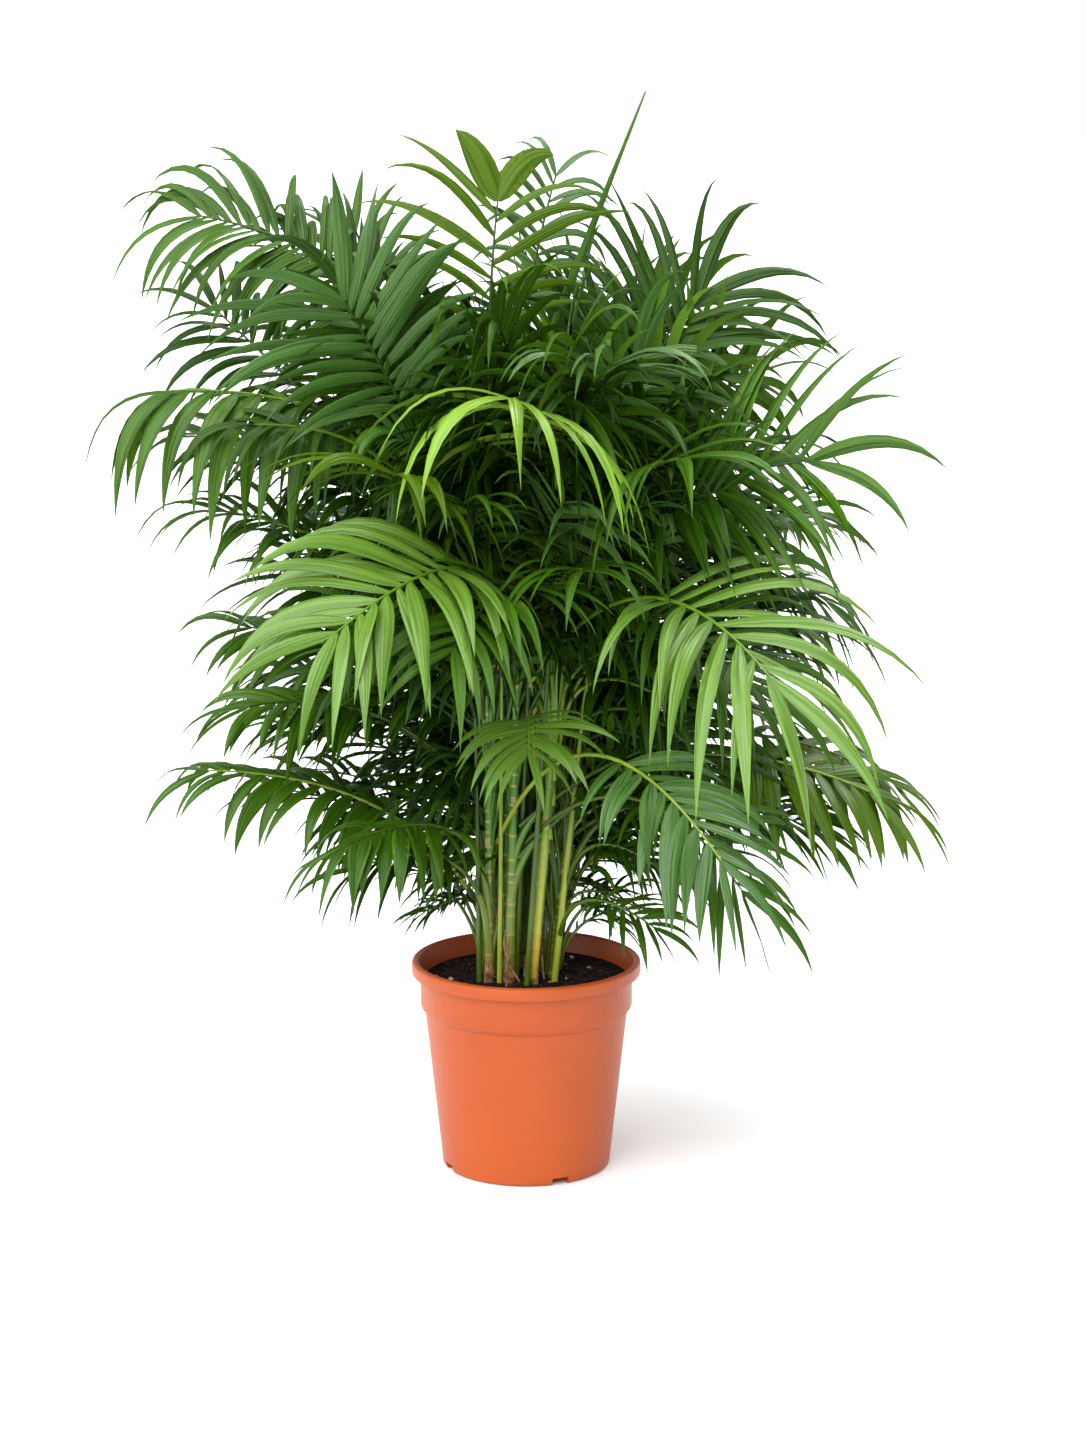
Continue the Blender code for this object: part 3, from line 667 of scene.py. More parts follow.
# %% [markdown]
# A leaflet sets off from the rib at a wide angle, sweeps a little towards the frond's tip, and then
# hangs under its own weight. It is a closed blade, and across it is a shallow roof, highest at the
# midrib. Pairs stand along the rib with one side a little ahead, and the last pair in a broad V.

# %% Leaflets
PAIR_SPACING = 0.0130
FEWEST_PAIRS = 9
MOST_PAIRS = 18
NARROW = 0.095
INNER_WIDTH = 0.115
SHOOT_WIDTH = 0.130
STAGGER = 0.35
BASAL_SPLAY = 72.0
UPPER_SPLAY = 40.0
END_SPLAY = 25.0
LIFT = 20.0
SPLAY_JITTER = 6
LIFT_JITTER = 9
FACING_JITTER = 0.16
TWIST_JITTER = 0.5
STATIONS = 9
BLADE_THICKNESS = 0.0006
ROOF = 0.36
BLADE_FACES = ring_faces(STATIONS, 4, close_end=False)
BLADE_FACES += [(STATIONS * 4 - 4 + k, STATIONS * 4 - 4 + (k + 1) % 4, STATIONS * 4) for k in range(4)]
BLADE_SLOTS = [0, 0, 1, 1] * (STATIONS - 1) + [0] + [0, 0, 1, 1]

STYLES = {
    # Pairs, greatest width as a share of the length, length and droop as shares of the frame's, lift
    "crown_fan": (8, 0.085, 1.12, 1.3, 12),
    "crown_curl": (10, 0.095, 0.95, 1.6, 15),
    "left_heart": (12, 0.085, 1.28, 1.3, 22),
    "left_top": (17, 0.085, 1.25, 2.0, 10),
    "left_arch": (9, 0.145, 1.2, 2.2, -8),
    "left_broad": (15, 0.125, 1.1, 1.4, 18),
    "low_left": (15, 0.19, 0.88, 1.8, -5),
    "low_left_near": (12, 0.19, 0.85, 1.8, -5),
    "left_side": (11, 0.15, 0.95, 1.5, 5),
    "left_side_low": (11, 0.17, 0.9, 1.5, 5),
    "right_crown": (13, 0.076, 1.3, 1.3, 20),
    "right_reach": (12, 0.08, 1.22, 1.4, 16),
    "right_hang": (11, 0.1, 1.12, 1.8, 8),
    "right_broad": (9, 0.092, 1.28, 1.7, 12),
    "right_gloss": (10, 0.165, 0.92, 1.3, 0),
    "right_far": (10, 0.19, 1.0, 2.0, -5),
    "right_low": (10, 0.18, 1.0, 2.0, -5),
    "lime_arch": (8, 0.08, 1.5, 1.5, -6),
    "small_front": (9, 0.15, 1.2, 1.4, 16),
    "sprout_right": (9, 0.12, 1.0, 1.2, 10),
    "heart_left": (10, 0.095, 1.12, 1.5, 12),
    "heart_right": (10, 0.095, 1.12, 1.5, 12),
    "back_high": (11, 0.095, 1.0, 2.6, 0),
    "back_high_right": (11, 0.095, 1.0, 2.2, 5),
}
END_STYLES = {"crown_fan": (0.62, 0.34, 0.80)}
USUAL_END = (0.88, 0.12, 1.2)
USUAL_POINT = 1.15


def outline_width(v, point):
    """A leaflet's width at v of its length. A greater point draws its tip out more."""
    return (v + 0.02) ** 0.6 * (1.0 - v) ** point / 0.400


def add_leaflet(gathered, place, heading, upper, forward, length, width, hang, sweep, twist, point):
    """One closed blade. Each ring is its left edge, ridge, right edge and keel."""
    points = []
    places = []
    step = length / STATIONS
    turn = twist / STATIONS
    for number in range(STATIONS):
        v = number / STATIONS
        across = unit(np.cross(heading, upper))
        top = np.cross(across, heading)
        half = 0.5 * width * length * outline_width(v, point)
        edge = place - top * ROOF * half
        points += [edge - across * half, place, edge + across * half, place - top * BLADE_THICKNESS]
        places += [(side, v * length * 10) for side in (0.0, 0.5, 1.0, 0.5)]
        droop = hang * 2 * (number + 0.5) / STATIONS ** 2
        heading = unit(heading - UP * droop + forward * sweep / STATIONS)
        upper = top * cos(turn) + across * sin(turn)
        place = place + heading * step
    points.append(place)
    places.append((0.5, length * 10))
    gathered.add(points, BLADE_FACES, places, BLADE_SLOTS)


def blade_length(rib):
    path = np.array([rib.point(t) for t in np.linspace(rib.neck_at, 1, 12)])
    return steps_of(path).sum()


def usual_style(name, rib):
    if rib.leaflet == SHOOT_LEAFLET:
        return 7, SHOOT_WIDTH, 0.85, 1.2, LIFT
    pairs = int(np.clip(round(blade_length(rib) / PAIR_SPACING), FEWEST_PAIRS, MOST_PAIRS))
    return pairs, INNER_WIDTH if name.startswith("inner_") else NARROW, 1.0, 1.3, LIFT


def add_frond(gathered, name, seed):
    """All the leaflets of a frond, in pairs along its rib."""
    rib = RIBS[name]
    pairs, width, share, droop, rise = STYLES.get(name) or usual_style(name, rib)
    end_share, end_width, end_point = END_STYLES.get(name, USUAL_END)
    rng = np.random.default_rng(seed)
    for pair in range(pairs):
        last = pair == pairs - 1
        for side in (1, -1):
            u = pair / (pairs - 1)
            if side < 0 and not last:
                u += STAGGER / (pairs - 1)
            t = rib.neck_at + u * (1 - rib.neck_at)
            length = share * rib.leaflet * (end_share if last else 0.74 + 1.0 * u * (1 - u) + 0.06 * u)
            splay = END_SPLAY if last else BASAL_SPLAY + (UPPER_SPLAY - BASAL_SPLAY) * u
            along = rib.along(t)
            upper = square_to(rib.face, along)
            outward = np.cross(along, upper) * side
            angle = radians(splay + rng.normal(0, SPLAY_JITTER))
            lift = radians(rise + rng.normal(0, LIFT_JITTER))
            flat = cos(lift) * outward + sin(lift) * upper
            heading = cos(angle) * along + sin(angle) * flat
            facing = unit(upper - sin(lift) * outward + rng.normal(0, FACING_JITTER) * outward)
            place = rib.point(t) - heading * rib.radius(t) * 0.5
            length *= rng.uniform(0.86, 1.08)
            wide = end_width if last else width * rng.uniform(0.9, 1.1)
            hang = rib.hang * droop * rng.uniform(0.65, 1.35)
            sweep = rng.uniform(0.05, 0.3)
            twist = rng.normal(0, TWIST_JITTER)
            point = end_point if last else USUAL_POINT
            add_leaflet(gathered, place, heading, facing, along, length, wide, hang, sweep, twist, point)
    return pairs * 2


TONE_OF = {
    "cool": "crown_curl left_heart back_high back_right right_gloss",
    "fresh": "left_broad right_broad small_front",
    "olive": "crown_fan right_low right_far heart_left back_high_right",
    "lime": "lime_arch",
    "mid": "left_low_arch left_side left_side_low mid_left heart_right right_shade right_hang mid_right "
    "back_left back_mid back_low_left back_low_right low_left_back left_arch right_reach sprout_right "
    "left_top low_left low_left_near",
}
TONE_OF = {name: tone for tone, names in TONE_OF.items() for name in names.split()}


def tone_of(name):
    """The frond's tone. What stands further in is a step darker, as painted shade of the crown's inside."""
    # Painted shade: second and inner fronds take a darker tone than the fronds outside them.
    if name.startswith("second_"):
        return "mid" if TONE_OF.get(name[7:]) in ("fresh", "cool", "olive") else "deep"
    if name.startswith("inner_"):
        return ("mid", "deep", "cool", "shade", "mid")[int(name[6:]) % 5]
    return TONE_OF.get(name, "deep")


for tone in TONES:
    names = [name for name in RIBS if tone_of(name) == tone]
    gathered = Gathered()
    made = sum(add_frond(gathered, name, list(RIBS).index(name)) for name in names)
    framed = [f"frond_{name}" for name in names if f"frond_{name}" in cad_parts]
    gathered.piece(f"leaflets_{tone}", LEAF[tone], framed)
    print(tone, made, "leaflets")

# %% [markdown]
# Ribs and stems are smooth and green, yellower towards the cane. Each is a swept tube that narrows from
# the cane to the rib's tip. Between the canes stand slim young stems, made in the same way.

# %% Stems and ribs
STEM_SIDES = 8
CANE_TONE = {1: "yellow", 3: "reddish", 6: "yellow", 8: "reddish"}


def stem_finish(name, low, high):
    """Smooth green stem: yellower near the soil, the leaf's own green in the crown."""
    made, tree, shader = new_material(name, 0.34, 0.4)
    texture = node(tree, "ShaderNodeTexCoord")
    height = node(tree, "ShaderNodeSeparateXYZ", links={"Vector": texture.outputs["Object"]})
    grain = {"Scale": 14.0, "Detail": 3.0}
    drift = node(tree, "ShaderNodeTexNoise", grain, {"Vector": texture.outputs["Object"]})
    ways = {0: drift.outputs["Fac"], 2: height.outputs["Z"]}
    wander = node(tree, "ShaderNodeMath", {1: 0.5}, ways, operation="MULTIPLY_ADD")
    stops = [(0.45, low), (0.85, high)]
    colour = node(tree, "ShaderNodeValToRGB", links={"Fac": wander.outputs[0]}, stops=stops)
    tree.links.new(colour.outputs["Color"], shader.inputs["Base Color"])
    return made


STEM = {
    "dark": stem_finish("smooth_stem_dark", "#4c6413", "#223f06"),
    "pale": stem_finish("smooth_stem_pale", "#9aa436", "#527812"),
}
PALE_STEMS = "lime_arch left_broad right_broad left_arch right_gloss low_left right_low small_front".split()
PALE_STEMS += [f"inner_{number:02d}" for number in range(0, BASAL_COUNT, 3)]


def tube_places(rings, sides, length):
    around = np.tile(np.arange(sides) / sides, rings)
    return np.stack([around, np.repeat(np.linspace(0, length * 10, rings), sides)], axis=1)


def add_tube(gathered, centres, radii, sides):
    places = tube_places(len(centres), sides, steps_of(centres).sum())
    gathered.add(swept(centres, radii, sides), ring_faces(len(centres), sides), places)


def is_pale(name):
    """Stems on a yellow cane are pale like the cane."""
    return name in PALE_STEMS or CANE_TONE.get(FRONDS[name][0]) == "yellow"


YOUNG_COUNT = 12
YOUNG_RADIUS = 0.0036


def add_young_stem(gathered, number):
    """A slim young stem between two canes, from the soil into the crown."""
    rng = random.Random(2000 + number)
    index = number + 0.5
    top = rng.uniform(0.50, 0.66)
    heights = np.linspace(SOIL_TOP - 0.003, top, 16)
    centres = np.array([cane_centre(index, z) for z in heights])
    shares = (heights - SOIL_TOP) / (top - SOIL_TOP)
    add_tube(gathered, centres, YOUNG_RADIUS * (1 - 0.4 * shares) * rng.uniform(0.8, 1.15), 10)


for shade, material in STEM.items():
    gathered = Gathered()
    for number in range(shade == "pale", YOUNG_COUNT, 2):
        add_young_stem(gathered, number)
    names = [name for name in RIBS if is_pale(name) == (shade == "pale")]
    for name in names:
        rib = RIBS[name]
        marks = np.linspace(0, 1, 26)
        centres = np.array([rib.point(t) for t in marks])
        add_tube(gathered, centres, [rib.radius(t) for t in marks], STEM_SIDES)
    gathered.piece(f"stems_{shade}", [material])

# %% [markdown]
# A cane is ringed like a slim bamboo: each ring is a fallen leaf's scar, a tan line on a slight swelling.
# The cane's texture place counts the rings, so the finish puts the scar exactly on the swelling. A
# frond's stem grows out of a sheath: a tube that slides off the cane's middle line and narrows into it.

# %% Canes
CANE_SIDES = 18
RING_STEP = 0.030
RING_SWELL = 0.10
SCAR_WIDTH = 0.05
SHEATH_LENGTH = 0.055
SHEATH_RINGS = 12


def cane_finish(name, stops):
    """Smooth cane, yellower towards the foot, with a tan scar at each whole number of its place along."""
    made, tree, shader = new_material(name, 0.30, 0.5)
    texture = node(tree, "ShaderNodeTexCoord")
    split = node(tree, "ShaderNodeSeparateXYZ", links={"Vector": texture.outputs["UV"]})
    height = node(tree, "ShaderNodeSeparateXYZ", links={"Vector": texture.outputs["Object"]})
    grain = {"Scale": 40.0, "Detail": 3.0}
    speckle = node(tree, "ShaderNodeTexNoise", grain, {"Vector": texture.outputs["Object"]})
    climb = {"From Min": 0.22, "From Max": 0.50, "To Min": 0.0, "To Max": 0.7}
    rise = node(tree, "ShaderNodeMapRange", climb, {"Value": height.outputs["Z"]})
    factors = {1: 0.20, 2: -0.06}
    wander = node(tree, "ShaderNodeMath", factors, {0: speckle.outputs["Fac"]}, operation="MULTIPLY_ADD")
    terms = {0: rise.outputs["Result"], 1: wander.outputs[0]}
    place = node(tree, "ShaderNodeMath", links=terms, operation="ADD")
    body = node(tree, "ShaderNodeValToRGB", links={"Fac": place.outputs[0]}, stops=stops)
    from_scar = node(tree, "ShaderNodeMath", {1: 0.5}, {0: split.outputs["Y"]}, operation="PINGPONG")
    fade = {"From Min": SCAR_WIDTH * 0.5, "From Max": SCAR_WIDTH, "To Min": 0.75, "To Max": 0.0}
    scar = node(tree, "ShaderNodeMapRange", fade, {"Value": from_scar.outputs[0]})
    layers = {"Factor": scar.outputs["Result"], "A": body.outputs["Color"]}
    mixed = node(tree, "ShaderNodeMix", {"B": linear("#a98d55")}, layers, data_type="RGBA")
    tree.links.new(mixed.outputs["Result"], shader.inputs["Base Color"])
    return made


def add_cane(gathered, index):
    """One cane, with swollen rings at uneven steps."""
    rng = np.random.default_rng(100 + index)
    foot = SOIL_TOP - 0.006
    top = CANES[index][0]
    rings = [foot]
    while rings[-1] < top:
        share = (rings[-1] - foot) / (top - foot)
        rings.append(rings[-1] + RING_STEP * (0.5 + 0.9 * share) * rng.uniform(0.8, 1.2))
    count = int((top - foot) / 0.0035)
    heights = np.linspace(foot, top, count)
    number = np.interp(heights, rings, np.arange(len(rings)))
    nearest = np.abs(number - np.round(number))
    swell = 1 + RING_SWELL * np.exp(-(nearest / 0.09) ** 2)
    centres = np.array([cane_centre(index, max(z, SOIL_TOP)) for z in heights])
    centres[:, 2] = heights
    radii = [cane_radius(index, z) for z in heights] * swell
    radii[-1] *= 0.5
    places = tube_places(count, CANE_SIDES, 0)
    places[:, 1] = np.repeat(number, CANE_SIDES)
    gathered.add(swept(centres, radii, CANE_SIDES), ring_faces(count, CANE_SIDES), places)


def ease(share):
    return share * share * (3 - 2 * share)


def add_sheath(gathered, index, rib):
    """A stem's clasping foot: round the cane at its lower end, round the stem at its upper end."""
    top = rib.start[2]
    low = max(SOIL_TOP + 0.004, top - SHEATH_LENGTH)
    centres = []
    radii = []
    for share in np.linspace(0, 1, SHEATH_RINGS):
        height = low + (top - low) * share
        on_cane = cane_centre(index, height)
        on_stem = rib.point(0.10 * share)
        over = ease(share)
        centres.append(on_cane * (1 - over) + on_stem * over)
        radii.append((cane_radius(index, height) + 0.0003) * (1 - over) + STEM_RADIUS * 1.04 * over)
    add_tube(gathered, np.array(centres), radii, 12)


CANE_TONES = {
    "green": [(0.0, "#5e6c1a"), (0.20, "#41620f"), (0.50, "#2f5609"), (1.0, "#214206")],
    "yellow": [(0.0, "#a8501a"), (0.10, "#cfae3a"), (0.26, "#9cab30"), (0.55, "#557f16")],
    "reddish": [(0.0, "#6b3620"), (0.07, "#84603a"), (0.16, "#6a7a26"), (0.5, "#3c6a0d")],
}
CANE_FINISH = {tone: cane_finish(f"ringed_cane_{tone}", stops) for tone, stops in CANE_TONES.items()}
for index in range(len(CANES)):
    gathered = Gathered()
    add_cane(gathered, index)
    for frond, rib in RIBS.items():
        if FRONDS[frond][0] == index:
            add_sheath(gathered, index, rib)
    name = f"cane_{index + 1:02d}"
    gathered.piece(name + "_ringed", [CANE_FINISH[CANE_TONE.get(index, "green")]], [name])

# %% [markdown]
# Old leaves leave a torn, papery husk round a cane's foot, and here and there a thin, dry stalk. A husk
# is a short sleeve with a ragged upper edge, closed like a tube.

# %% Husks and dry stalks
HUSKED_CANES = (0, 1, 3, 6, 8)
HUSK_SIDES = 20
STALK_COUNT = 9


def add_husk(gathered, index):
    """A sleeve round the cane's foot, with a ragged upper edge."""
    rng = np.random.default_rng(300 + index)
    tall = rng.uniform(0.014, 0.034)
    ragged = tall * rng.uniform(0.55, 1.1, HUSK_SIDES)
    rings = []
    for share, over in [(0, 0.0012), (0.4, 0.0009), (0.8, 0.0007), (1, 0.0004), (1, -0.0004)]:
        heights = SOIL_TOP - 0.004 + ragged * share
        for angle, height in zip(circle(HUSK_SIDES), heights):
            reach = cane_radius(index, height) + over
            centre = cane_centre(index, max(height, SOIL_TOP))
            rings.append([centre[0] + reach * cos(angle), centre[1] + reach * sin(angle), height])
    gathered.add(rings, ring_faces(5, HUSK_SIDES))


def add_stalk(gathered, number):
    """A thin dry stalk, bent at its top."""
    rng = np.random.default_rng(400 + number)
    foot = cane_centre(number + 0.25, SOIL_TOP) - UP * 0.004
    lean = compass(rng.uniform(180, 360)) * rng.uniform(0.004, 0.022)
    tall = rng.uniform(0.05, 0.12)
    marks = np.linspace(0, 1, 9)
    centres = np.array([foot + UP * tall * t + lean * (2.2 * t - 1.2 * t ** 3) for t in marks])
    add_tube(gathered, centres, 0.0013 * (1 - 0.55 * marks), 8)


gathered = Gathered()
for index in HUSKED_CANES:
    add_husk(gathered, index)
for number in range(STALK_COUNT):
    add_stalk(gathered, number)
# Dry papery sheath: pinkish tan with brown patches, dull.
dry = speckled("dry_sheath", 0.75, 0.2, 90.0, 3.0, [(0.35, "#5a2f1e"), (0.65, "#b58a68")])
gathered.piece("husks_and_stalks", [dry[0]])

# %% [markdown]
# The newest leaf is still folded up: a slim spear above the crown, widest past its middle and drawn out
# to a point. Its leaflets lie pressed together, so it is a flattened tube with grooves between the folds.

# %% Spear
SPEAR_SIDES = 16
SPEAR_RINGS = 50
SPEAR_FOLDS = 4
SPEAR_FLATNESS = 0.62
SPEAR_TWIST = 1.6
SPEAR_FULLNESS = 1.3


def spear_mesh():
    """The spear's rings: flattened, grooved and slowly turning."""
    path, radii = spear_path()
    marks = np.linspace(0, 1, len(path))
    wanted = np.linspace(0, 1, SPEAR_RINGS)
    centres = read_off(path, marks, wanted)
    radii = np.interp(wanted, marks, radii)
    ways = np.gradient(centres, axis=0)
    angles = circle(SPEAR_SIDES)
    rings = []
    for centre, way, radius, mark in zip(centres, ways, radii, wanted):
        along = unit(way)
        turn = SPEAR_TWIST * (1 - mark)
        wide = square_to(np.array([cos(turn), sin(turn), 0.0]), along)
        thin = np.cross(along, wide)
        groove = 1 - 0.16 * np.maximum(0, np.cos(SPEAR_FOLDS * angles)) ** 4
        flat = SPEAR_FLATNESS + (1 - SPEAR_FLATNESS) * (1 - ease(min(1, mark * 3)))
        lie = np.outer(np.cos(angles) * groove, wide) + np.outer(np.sin(angles) * groove * flat, thin)
        rings.append(centre + radius * SPEAR_FULLNESS * lie)
    return np.concatenate(rings)


gathered = Gathered()
places = tube_places(SPEAR_RINGS, SPEAR_SIDES, 0.45)
gathered.add(spear_mesh(), ring_faces(SPEAR_RINGS, SPEAR_SIDES), places)
gathered.piece("spear_folded", [LEAF["mid"][0]], ["spear"])

# %% [markdown]
# The pot is moulded polypropylene with a soft satin gloss. It could be turned from a profile. Here it is
# raised as by hand: a disc is extruded and resized again and again, up the outside, over the rolled rim
# and down the inside, so it stays one closed shell. The drain notches are cut at the end.

# %% Pot
POT_HEIGHT = 0.240
RIM_RADIUS = 0.130
LIP_HEIGHT = 0.016
LIP_OVERHANG = 0.0095
BAND_BOTTOM = 0.182
BAND_STEP = 0.0055
FOOT_RADIUS = 0.095
FOOT_ROUNDING = 0.005
WALL = 0.0030
FLOOR = 0.0050
INNER_CORNER = 0.008
POT_SIDES = 144
NOTCH_COUNT = 4
NOTCH_WIDTH = 0.020
NOTCH_HEIGHT = 0.0085
NOTCH_DEPTH = 0.03
NOTCH_CORNER = 0.0015
NOTCH_FIRST = -66.0
LIP_ROUNDING = 0.0042


def wall_radius(height):
    """Outer radius of the pot's straight wall."""
    top = RIM_RADIUS - LIP_OVERHANG - BAND_STEP
    return FOOT_RADIUS + (top - FOOT_RADIUS) * height / BAND_BOTTOM


def pot_outline():
    """Radius and height of the pot's rings, from the foot, over the rim, to the inner floor."""
    under_lip = POT_HEIGHT - LIP_HEIGHT
    band_top = RIM_RADIUS - LIP_OVERHANG
    foot_centre = wall_radius(FOOT_ROUNDING) - FOOT_ROUNDING
    outline = []
    for k in range(7):
        a = radians(15 * k)
        outline.append((foot_centre + FOOT_ROUNDING * sin(a), FOOT_ROUNDING * (1 - cos(a))))
    outline += [(wall_radius(h), h) for h in (0.05, 0.10, 0.15, BAND_BOTTOM - 0.0012)]
    outline += [
        (wall_radius(BAND_BOTTOM) + 0.0016, BAND_BOTTOM + 0.0006),
        (band_top - 0.0012, BAND_BOTTOM + 0.0042),
        (band_top - 0.0004, BAND_BOTTOM + 0.0065),
        (band_top, under_lip - 0.0012),
        (band_top + 0.0012, under_lip),
        (RIM_RADIUS - 0.0024, under_lip),
        (RIM_RADIUS - 0.0006, under_lip + 0.0010),
        (RIM_RADIUS, under_lip + 0.0030),
        (RIM_RADIUS, POT_HEIGHT - LIP_ROUNDING),
    ]
    for k in range(1, 7):
        a = radians(30 * k)
        inset = LIP_ROUNDING * (1 - cos(a))
        outline.append((RIM_RADIUS - inset, POT_HEIGHT - LIP_ROUNDING * (1 - sin(a))))
    outline += [
        (RIM_RADIUS - 0.0100, POT_HEIGHT - 0.0090),
        (band_top - WALL, under_lip),
        (wall_radius(BAND_BOTTOM) - WALL, BAND_BOTTOM),
        (wall_radius(FLOOR + INNER_CORNER) - WALL, FLOOR + INNER_CORNER),
        (wall_radius(FLOOR) - WALL - INNER_CORNER, FLOOR),
    ]
    return outline


def pick(*objects):
    """Selects these objects and no others."""
    bpy.ops.object.select_all(action="DESELECT")
    for obj in objects:
        obj.select_set(True)
    bpy.context.view_layer.objects.active = objects[0] if objects else None


def raise_pot():
    """The pot's shell, raised from a disc."""
    outline = pot_outline()
    pick()
    radius, height = outline[0]
    bpy.ops.mesh.primitive_circle_add(vertices=POT_SIDES, radius=radius, fill_type="NGON")
    pot = bpy.context.object
    pot.name = "pot_moulded"
    bpy.ops.object.mode_set(mode="EDIT")
    bpy.ops.mesh.select_all(action="SELECT")
    for next_radius, next_height in outline[1:]:
        bpy.ops.mesh.extrude_region_move(TRANSFORM_OT_translate={"value": (0, 0, next_height - height)})
        share = next_radius / radius
        bpy.ops.transform.resize(value=(share, share, 1), center_override=(0, 0, 0))
        radius, height = next_radius, next_height
    bpy.ops.mesh.select_all(action="SELECT")
    bpy.ops.mesh.normals_make_consistent(inside=False)
    bpy.ops.object.mode_set(mode="OBJECT")
    return pot


def cut_notches(pot):
    """Cuts the low drain notches round the foot."""
    for k in range(NOTCH_COUNT):
        heading = NOTCH_FIRST + 360 / NOTCH_COUNT * k
        pick()
        spot = compass(heading) * FOOT_RADIUS
        bpy.ops.mesh.primitive_cube_add(size=1, location=spot, rotation=(0, 0, radians(heading)))
        notch = bpy.context.object
        notch.scale = (NOTCH_DEPTH, NOTCH_WIDTH, NOTCH_HEIGHT * 2)
        bpy.ops.object.transform_apply(location=False, rotation=False, scale=True)
        rounded = notch.modifiers.new("corners", "BEVEL")
        rounded.width = NOTCH_CORNER
        rounded.segments = 3
        cut = pot.modifiers.new("notch", "BOOLEAN")
        cut.operation = "DIFFERENCE"
        cut.object = notch
        pick(pot)
        bpy.ops.object.modifier_apply(modifier=cut.name)
        bpy.data.objects.remove(notch, do_unlink=True)


def pot_finish():
    """Moulded polypropylene, terracotta-coloured: satin, with a faint mottle and fine moulding marks.

    The marks are about two millimetres apart, coarser than real ones, so that they show.
    """
    stops = [(0.3, "#9f420d"), (0.7, "#aa4911")]
    made, tree, shader, mottle = speckled("moulded_polypropylene_terracotta", 0.40, 0.40, 7.0, 3.0, stops)
    gloss = node(tree, "ShaderNodeMapRange", {"To Min": 0.34, "To Max": 0.48}, {"Value": mottle})
    tree.links.new(gloss.outputs["Result"], shader.inputs["Roughness"])
    place = {"Vector": node(tree, "ShaderNodeTexCoord").outputs["Object"]}
    grain = node(tree, "ShaderNodeTexNoise", {"Scale": 420.0, "Detail": 2.0}, place)
    depth = {"Strength": 0.12, "Distance": 0.0003}
    relief = node(tree, "ShaderNodeBump", depth, {"Height": grain.outputs["Fac"]})
    tree.links.new(relief.outputs["Normal"], shader.inputs["Normal"])
    return made


pot = raise_pot()
cut_notches(pot)
pot.data.materials.append(pot_finish())
pick(pot)
bpy.ops.object.shade_smooth_by_angle(angle=radians(28))
dress(pot, ["pot"])
print("pot raised,", len(pot.data.polygons), "faces")

# %% [markdown]
# The soil is dark peat. Its top is a disc inset ring by ring and then moved up and down by a few waves.
# On it lie bark chips, fibres and small stones, each an icosahedron squashed by a seeded rule.

# %% Soil
SOIL_SIDES = 96
SOIL_RINGS = 26
SOIL_DEPTH = 0.030
SOIL_RADIUS = wall_radius(SOIL_TOP) - WALL - GAP * 2


def soil_height(x, y):
    """How far the soil stands above or below its level top."""
    near = hypot(x - CLUMP_SHIFT, y)
    mound = 0.0035 * exp(-(near / 0.045) ** 2) - 0.002
    lumps = 0.0016 * sin(95 * x + 40 * y) * cos(70 * y - 35 * x)
    return mound + lumps + 0.0011 * sin(260 * x) * sin(230 * y + 1.3)


def raise_soil():
    pick()
    size = {"radius": SOIL_RADIUS, "depth": SOIL_DEPTH}
    middle = (0, 0, SOIL_TOP - SOIL_DEPTH / 2)
    bpy.ops.mesh.primitive_cylinder_add(vertices=SOIL_SIDES, location=middle, **size)
    soil = bpy.context.object
    soil.name = "soil_crumbly"
    bpy.ops.object.transform_apply(location=True, rotation=True, scale=True)
    bpy.ops.object.mode_set(mode="EDIT")
    bpy.ops.mesh.select_all(action="DESELECT")
    bm = bmesh.from_edit_mesh(soil.data)
    for face in bm.faces:
        face.select = face.normal.z > 0.9
    bmesh.update_edit_mesh(soil.data)
    for ring in range(SOIL_RINGS):
        bpy.ops.mesh.inset(thickness=SOIL_RADIUS / (SOIL_RINGS + 1))
    bpy.ops.object.mode_set(mode="OBJECT")
    for vertex in soil.data.vertices:
        x, y, z = vertex.co
        if z > SOIL_TOP - 0.001 and hypot(x, y) < SOIL_RADIUS * 0.97:
            vertex.co.z = z + soil_height(x, y)
    return soil


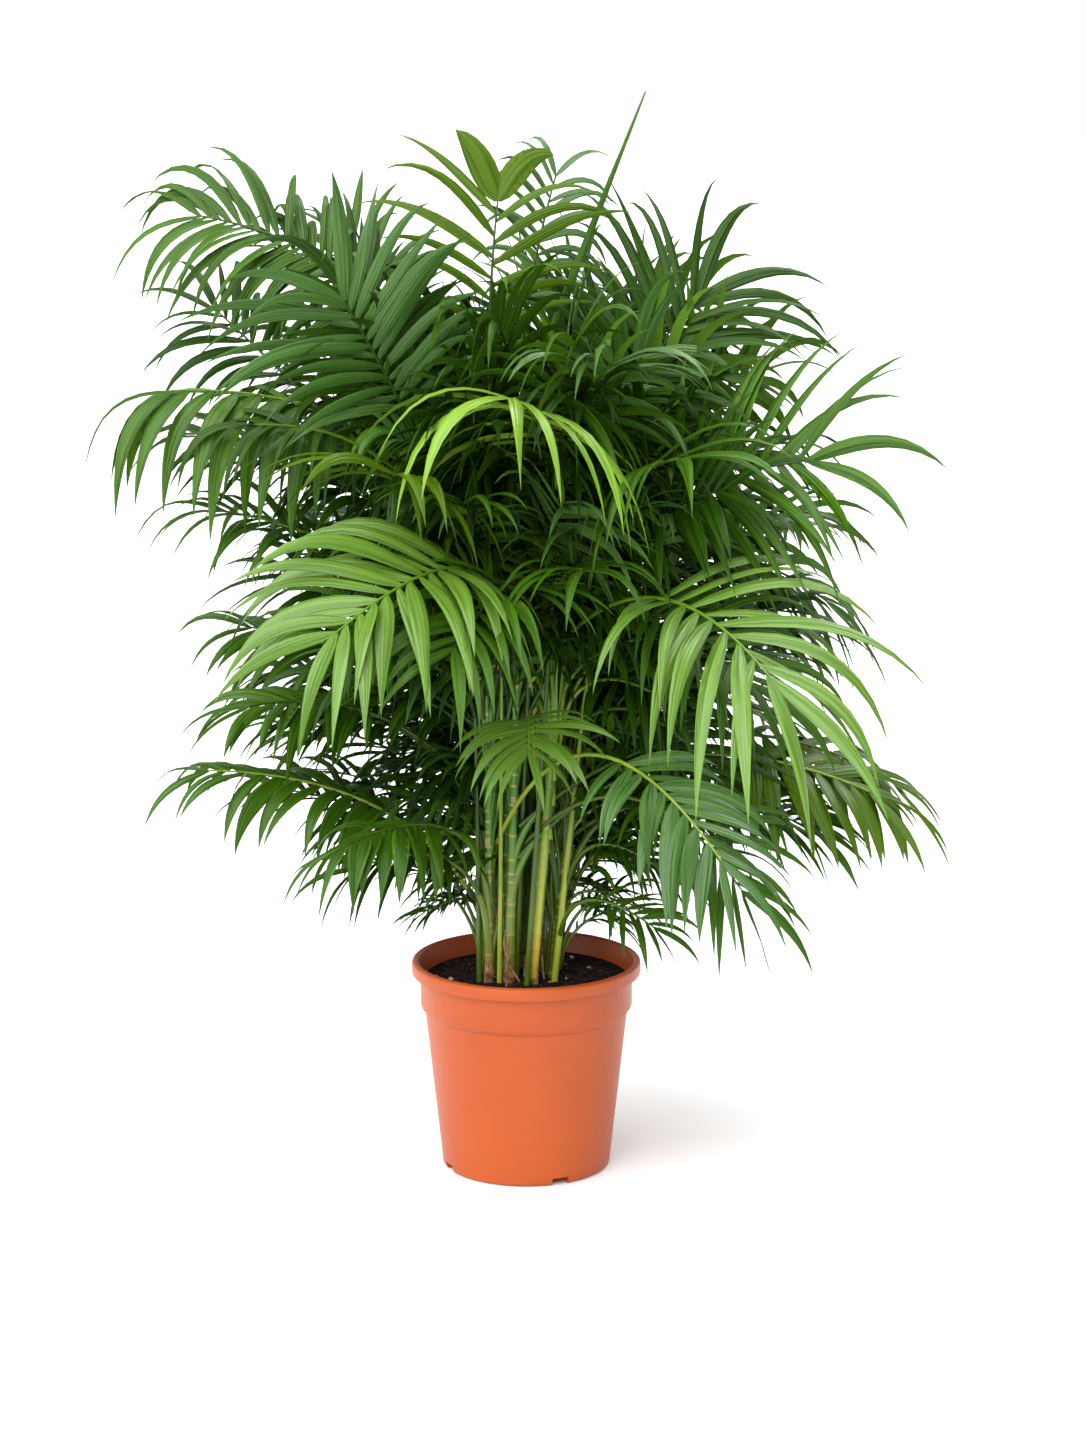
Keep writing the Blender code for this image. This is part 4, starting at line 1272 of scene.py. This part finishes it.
def soil_finish():
    """Moist peat: near black and brown crumbs about six millimetres wide, dull, in coarse relief."""
    stops = [(0.35, "#060302"), (0.55, "#0e0805"), (0.78, "#20150d")]
    made, tree, shader, crumbs = speckled("moist_peat", 0.88, 0.25, 160.0, 6.0, stops, 0.7)
    relief = node(tree, "ShaderNodeBump", {"Strength": 0.9, "Distance": 0.0015}, {"Height": crumbs})
    tree.links.new(relief.outputs["Normal"], shader.inputs["Normal"])
    return made


soil = raise_soil()
soil.data.materials.append(soil_finish())
dress(soil, ["soil"])
print("soil raised")

# %% Chips, fibres and stones
CHIP_KINDS = {
    # Count, half sizes in metres, colours from dark to light, roughness
    "bark_chips": (520, (0.0045, 0.0022, 0.0013), "#160c07", "#3a2415", 0.8),
    "crumbs": (900, (0.0019, 0.0016, 0.0014), "#0b0704", "#21150f", 0.9),
    "fibres": (90, (0.0100, 0.0006, 0.0006), "#2a1b10", "#5f4529", 0.75),
    "stones": (34, (0.0036, 0.0028, 0.0022), "#8d6b5c", "#dcb9aa", 0.6),
}


def turning(rng, level):
    """A random turn: any heading, and a small lean where level is near 1."""
    heading = rng.uniform(0, 2 * pi)
    lean = rng.normal(0, 0.35) * (1 - level) + rng.normal(0, 0.12)
    c, s = cos(lean), sin(lean)
    return upright_turn(heading) @ np.array([[c, 0, s], [0, 1, 0], [-s, 0, c]])


bm = bmesh.new()
bmesh.ops.create_icosphere(bm, subdivisions=1, radius=1.0)
BALL = np.array([v.co for v in bm.verts])
BALL_FACES = [tuple(v.index for v in f.verts) for f in bm.faces]
bm.free()
for kind, (count, half, dark, light, roughness) in CHIP_KINDS.items():
    rng = np.random.default_rng(len(kind))
    gathered = Gathered()
    reach = SOIL_RADIUS - half[0] - 0.002
    while gathered.count < count * len(BALL):
        r = reach * sqrt(rng.uniform(0, 1))
        a = rng.uniform(0, 2 * pi)
        x, y = r * cos(a), r * sin(a)
        size = np.array(half) * rng.uniform(0.55, 1.25)
        shape = BALL * size * rng.uniform(0.75, 1.2, (len(BALL), 3))
        height = SOIL_TOP + soil_height(x, y) + size[2] * rng.uniform(-0.2, 0.8)
        gathered.add(shape @ turning(rng, 0.6).T + [x, y, height], BALL_FACES)
    # Loose bark, crumbs, fibres and stones: dull, each mottled between a dark and a light colour.
    finish = speckled("loose_" + kind, roughness, 0.3, 130.0, 2.0, [(0.35, dark), (0.68, light)])
    gathered.piece(kind, [finish[0]], sharp=25)
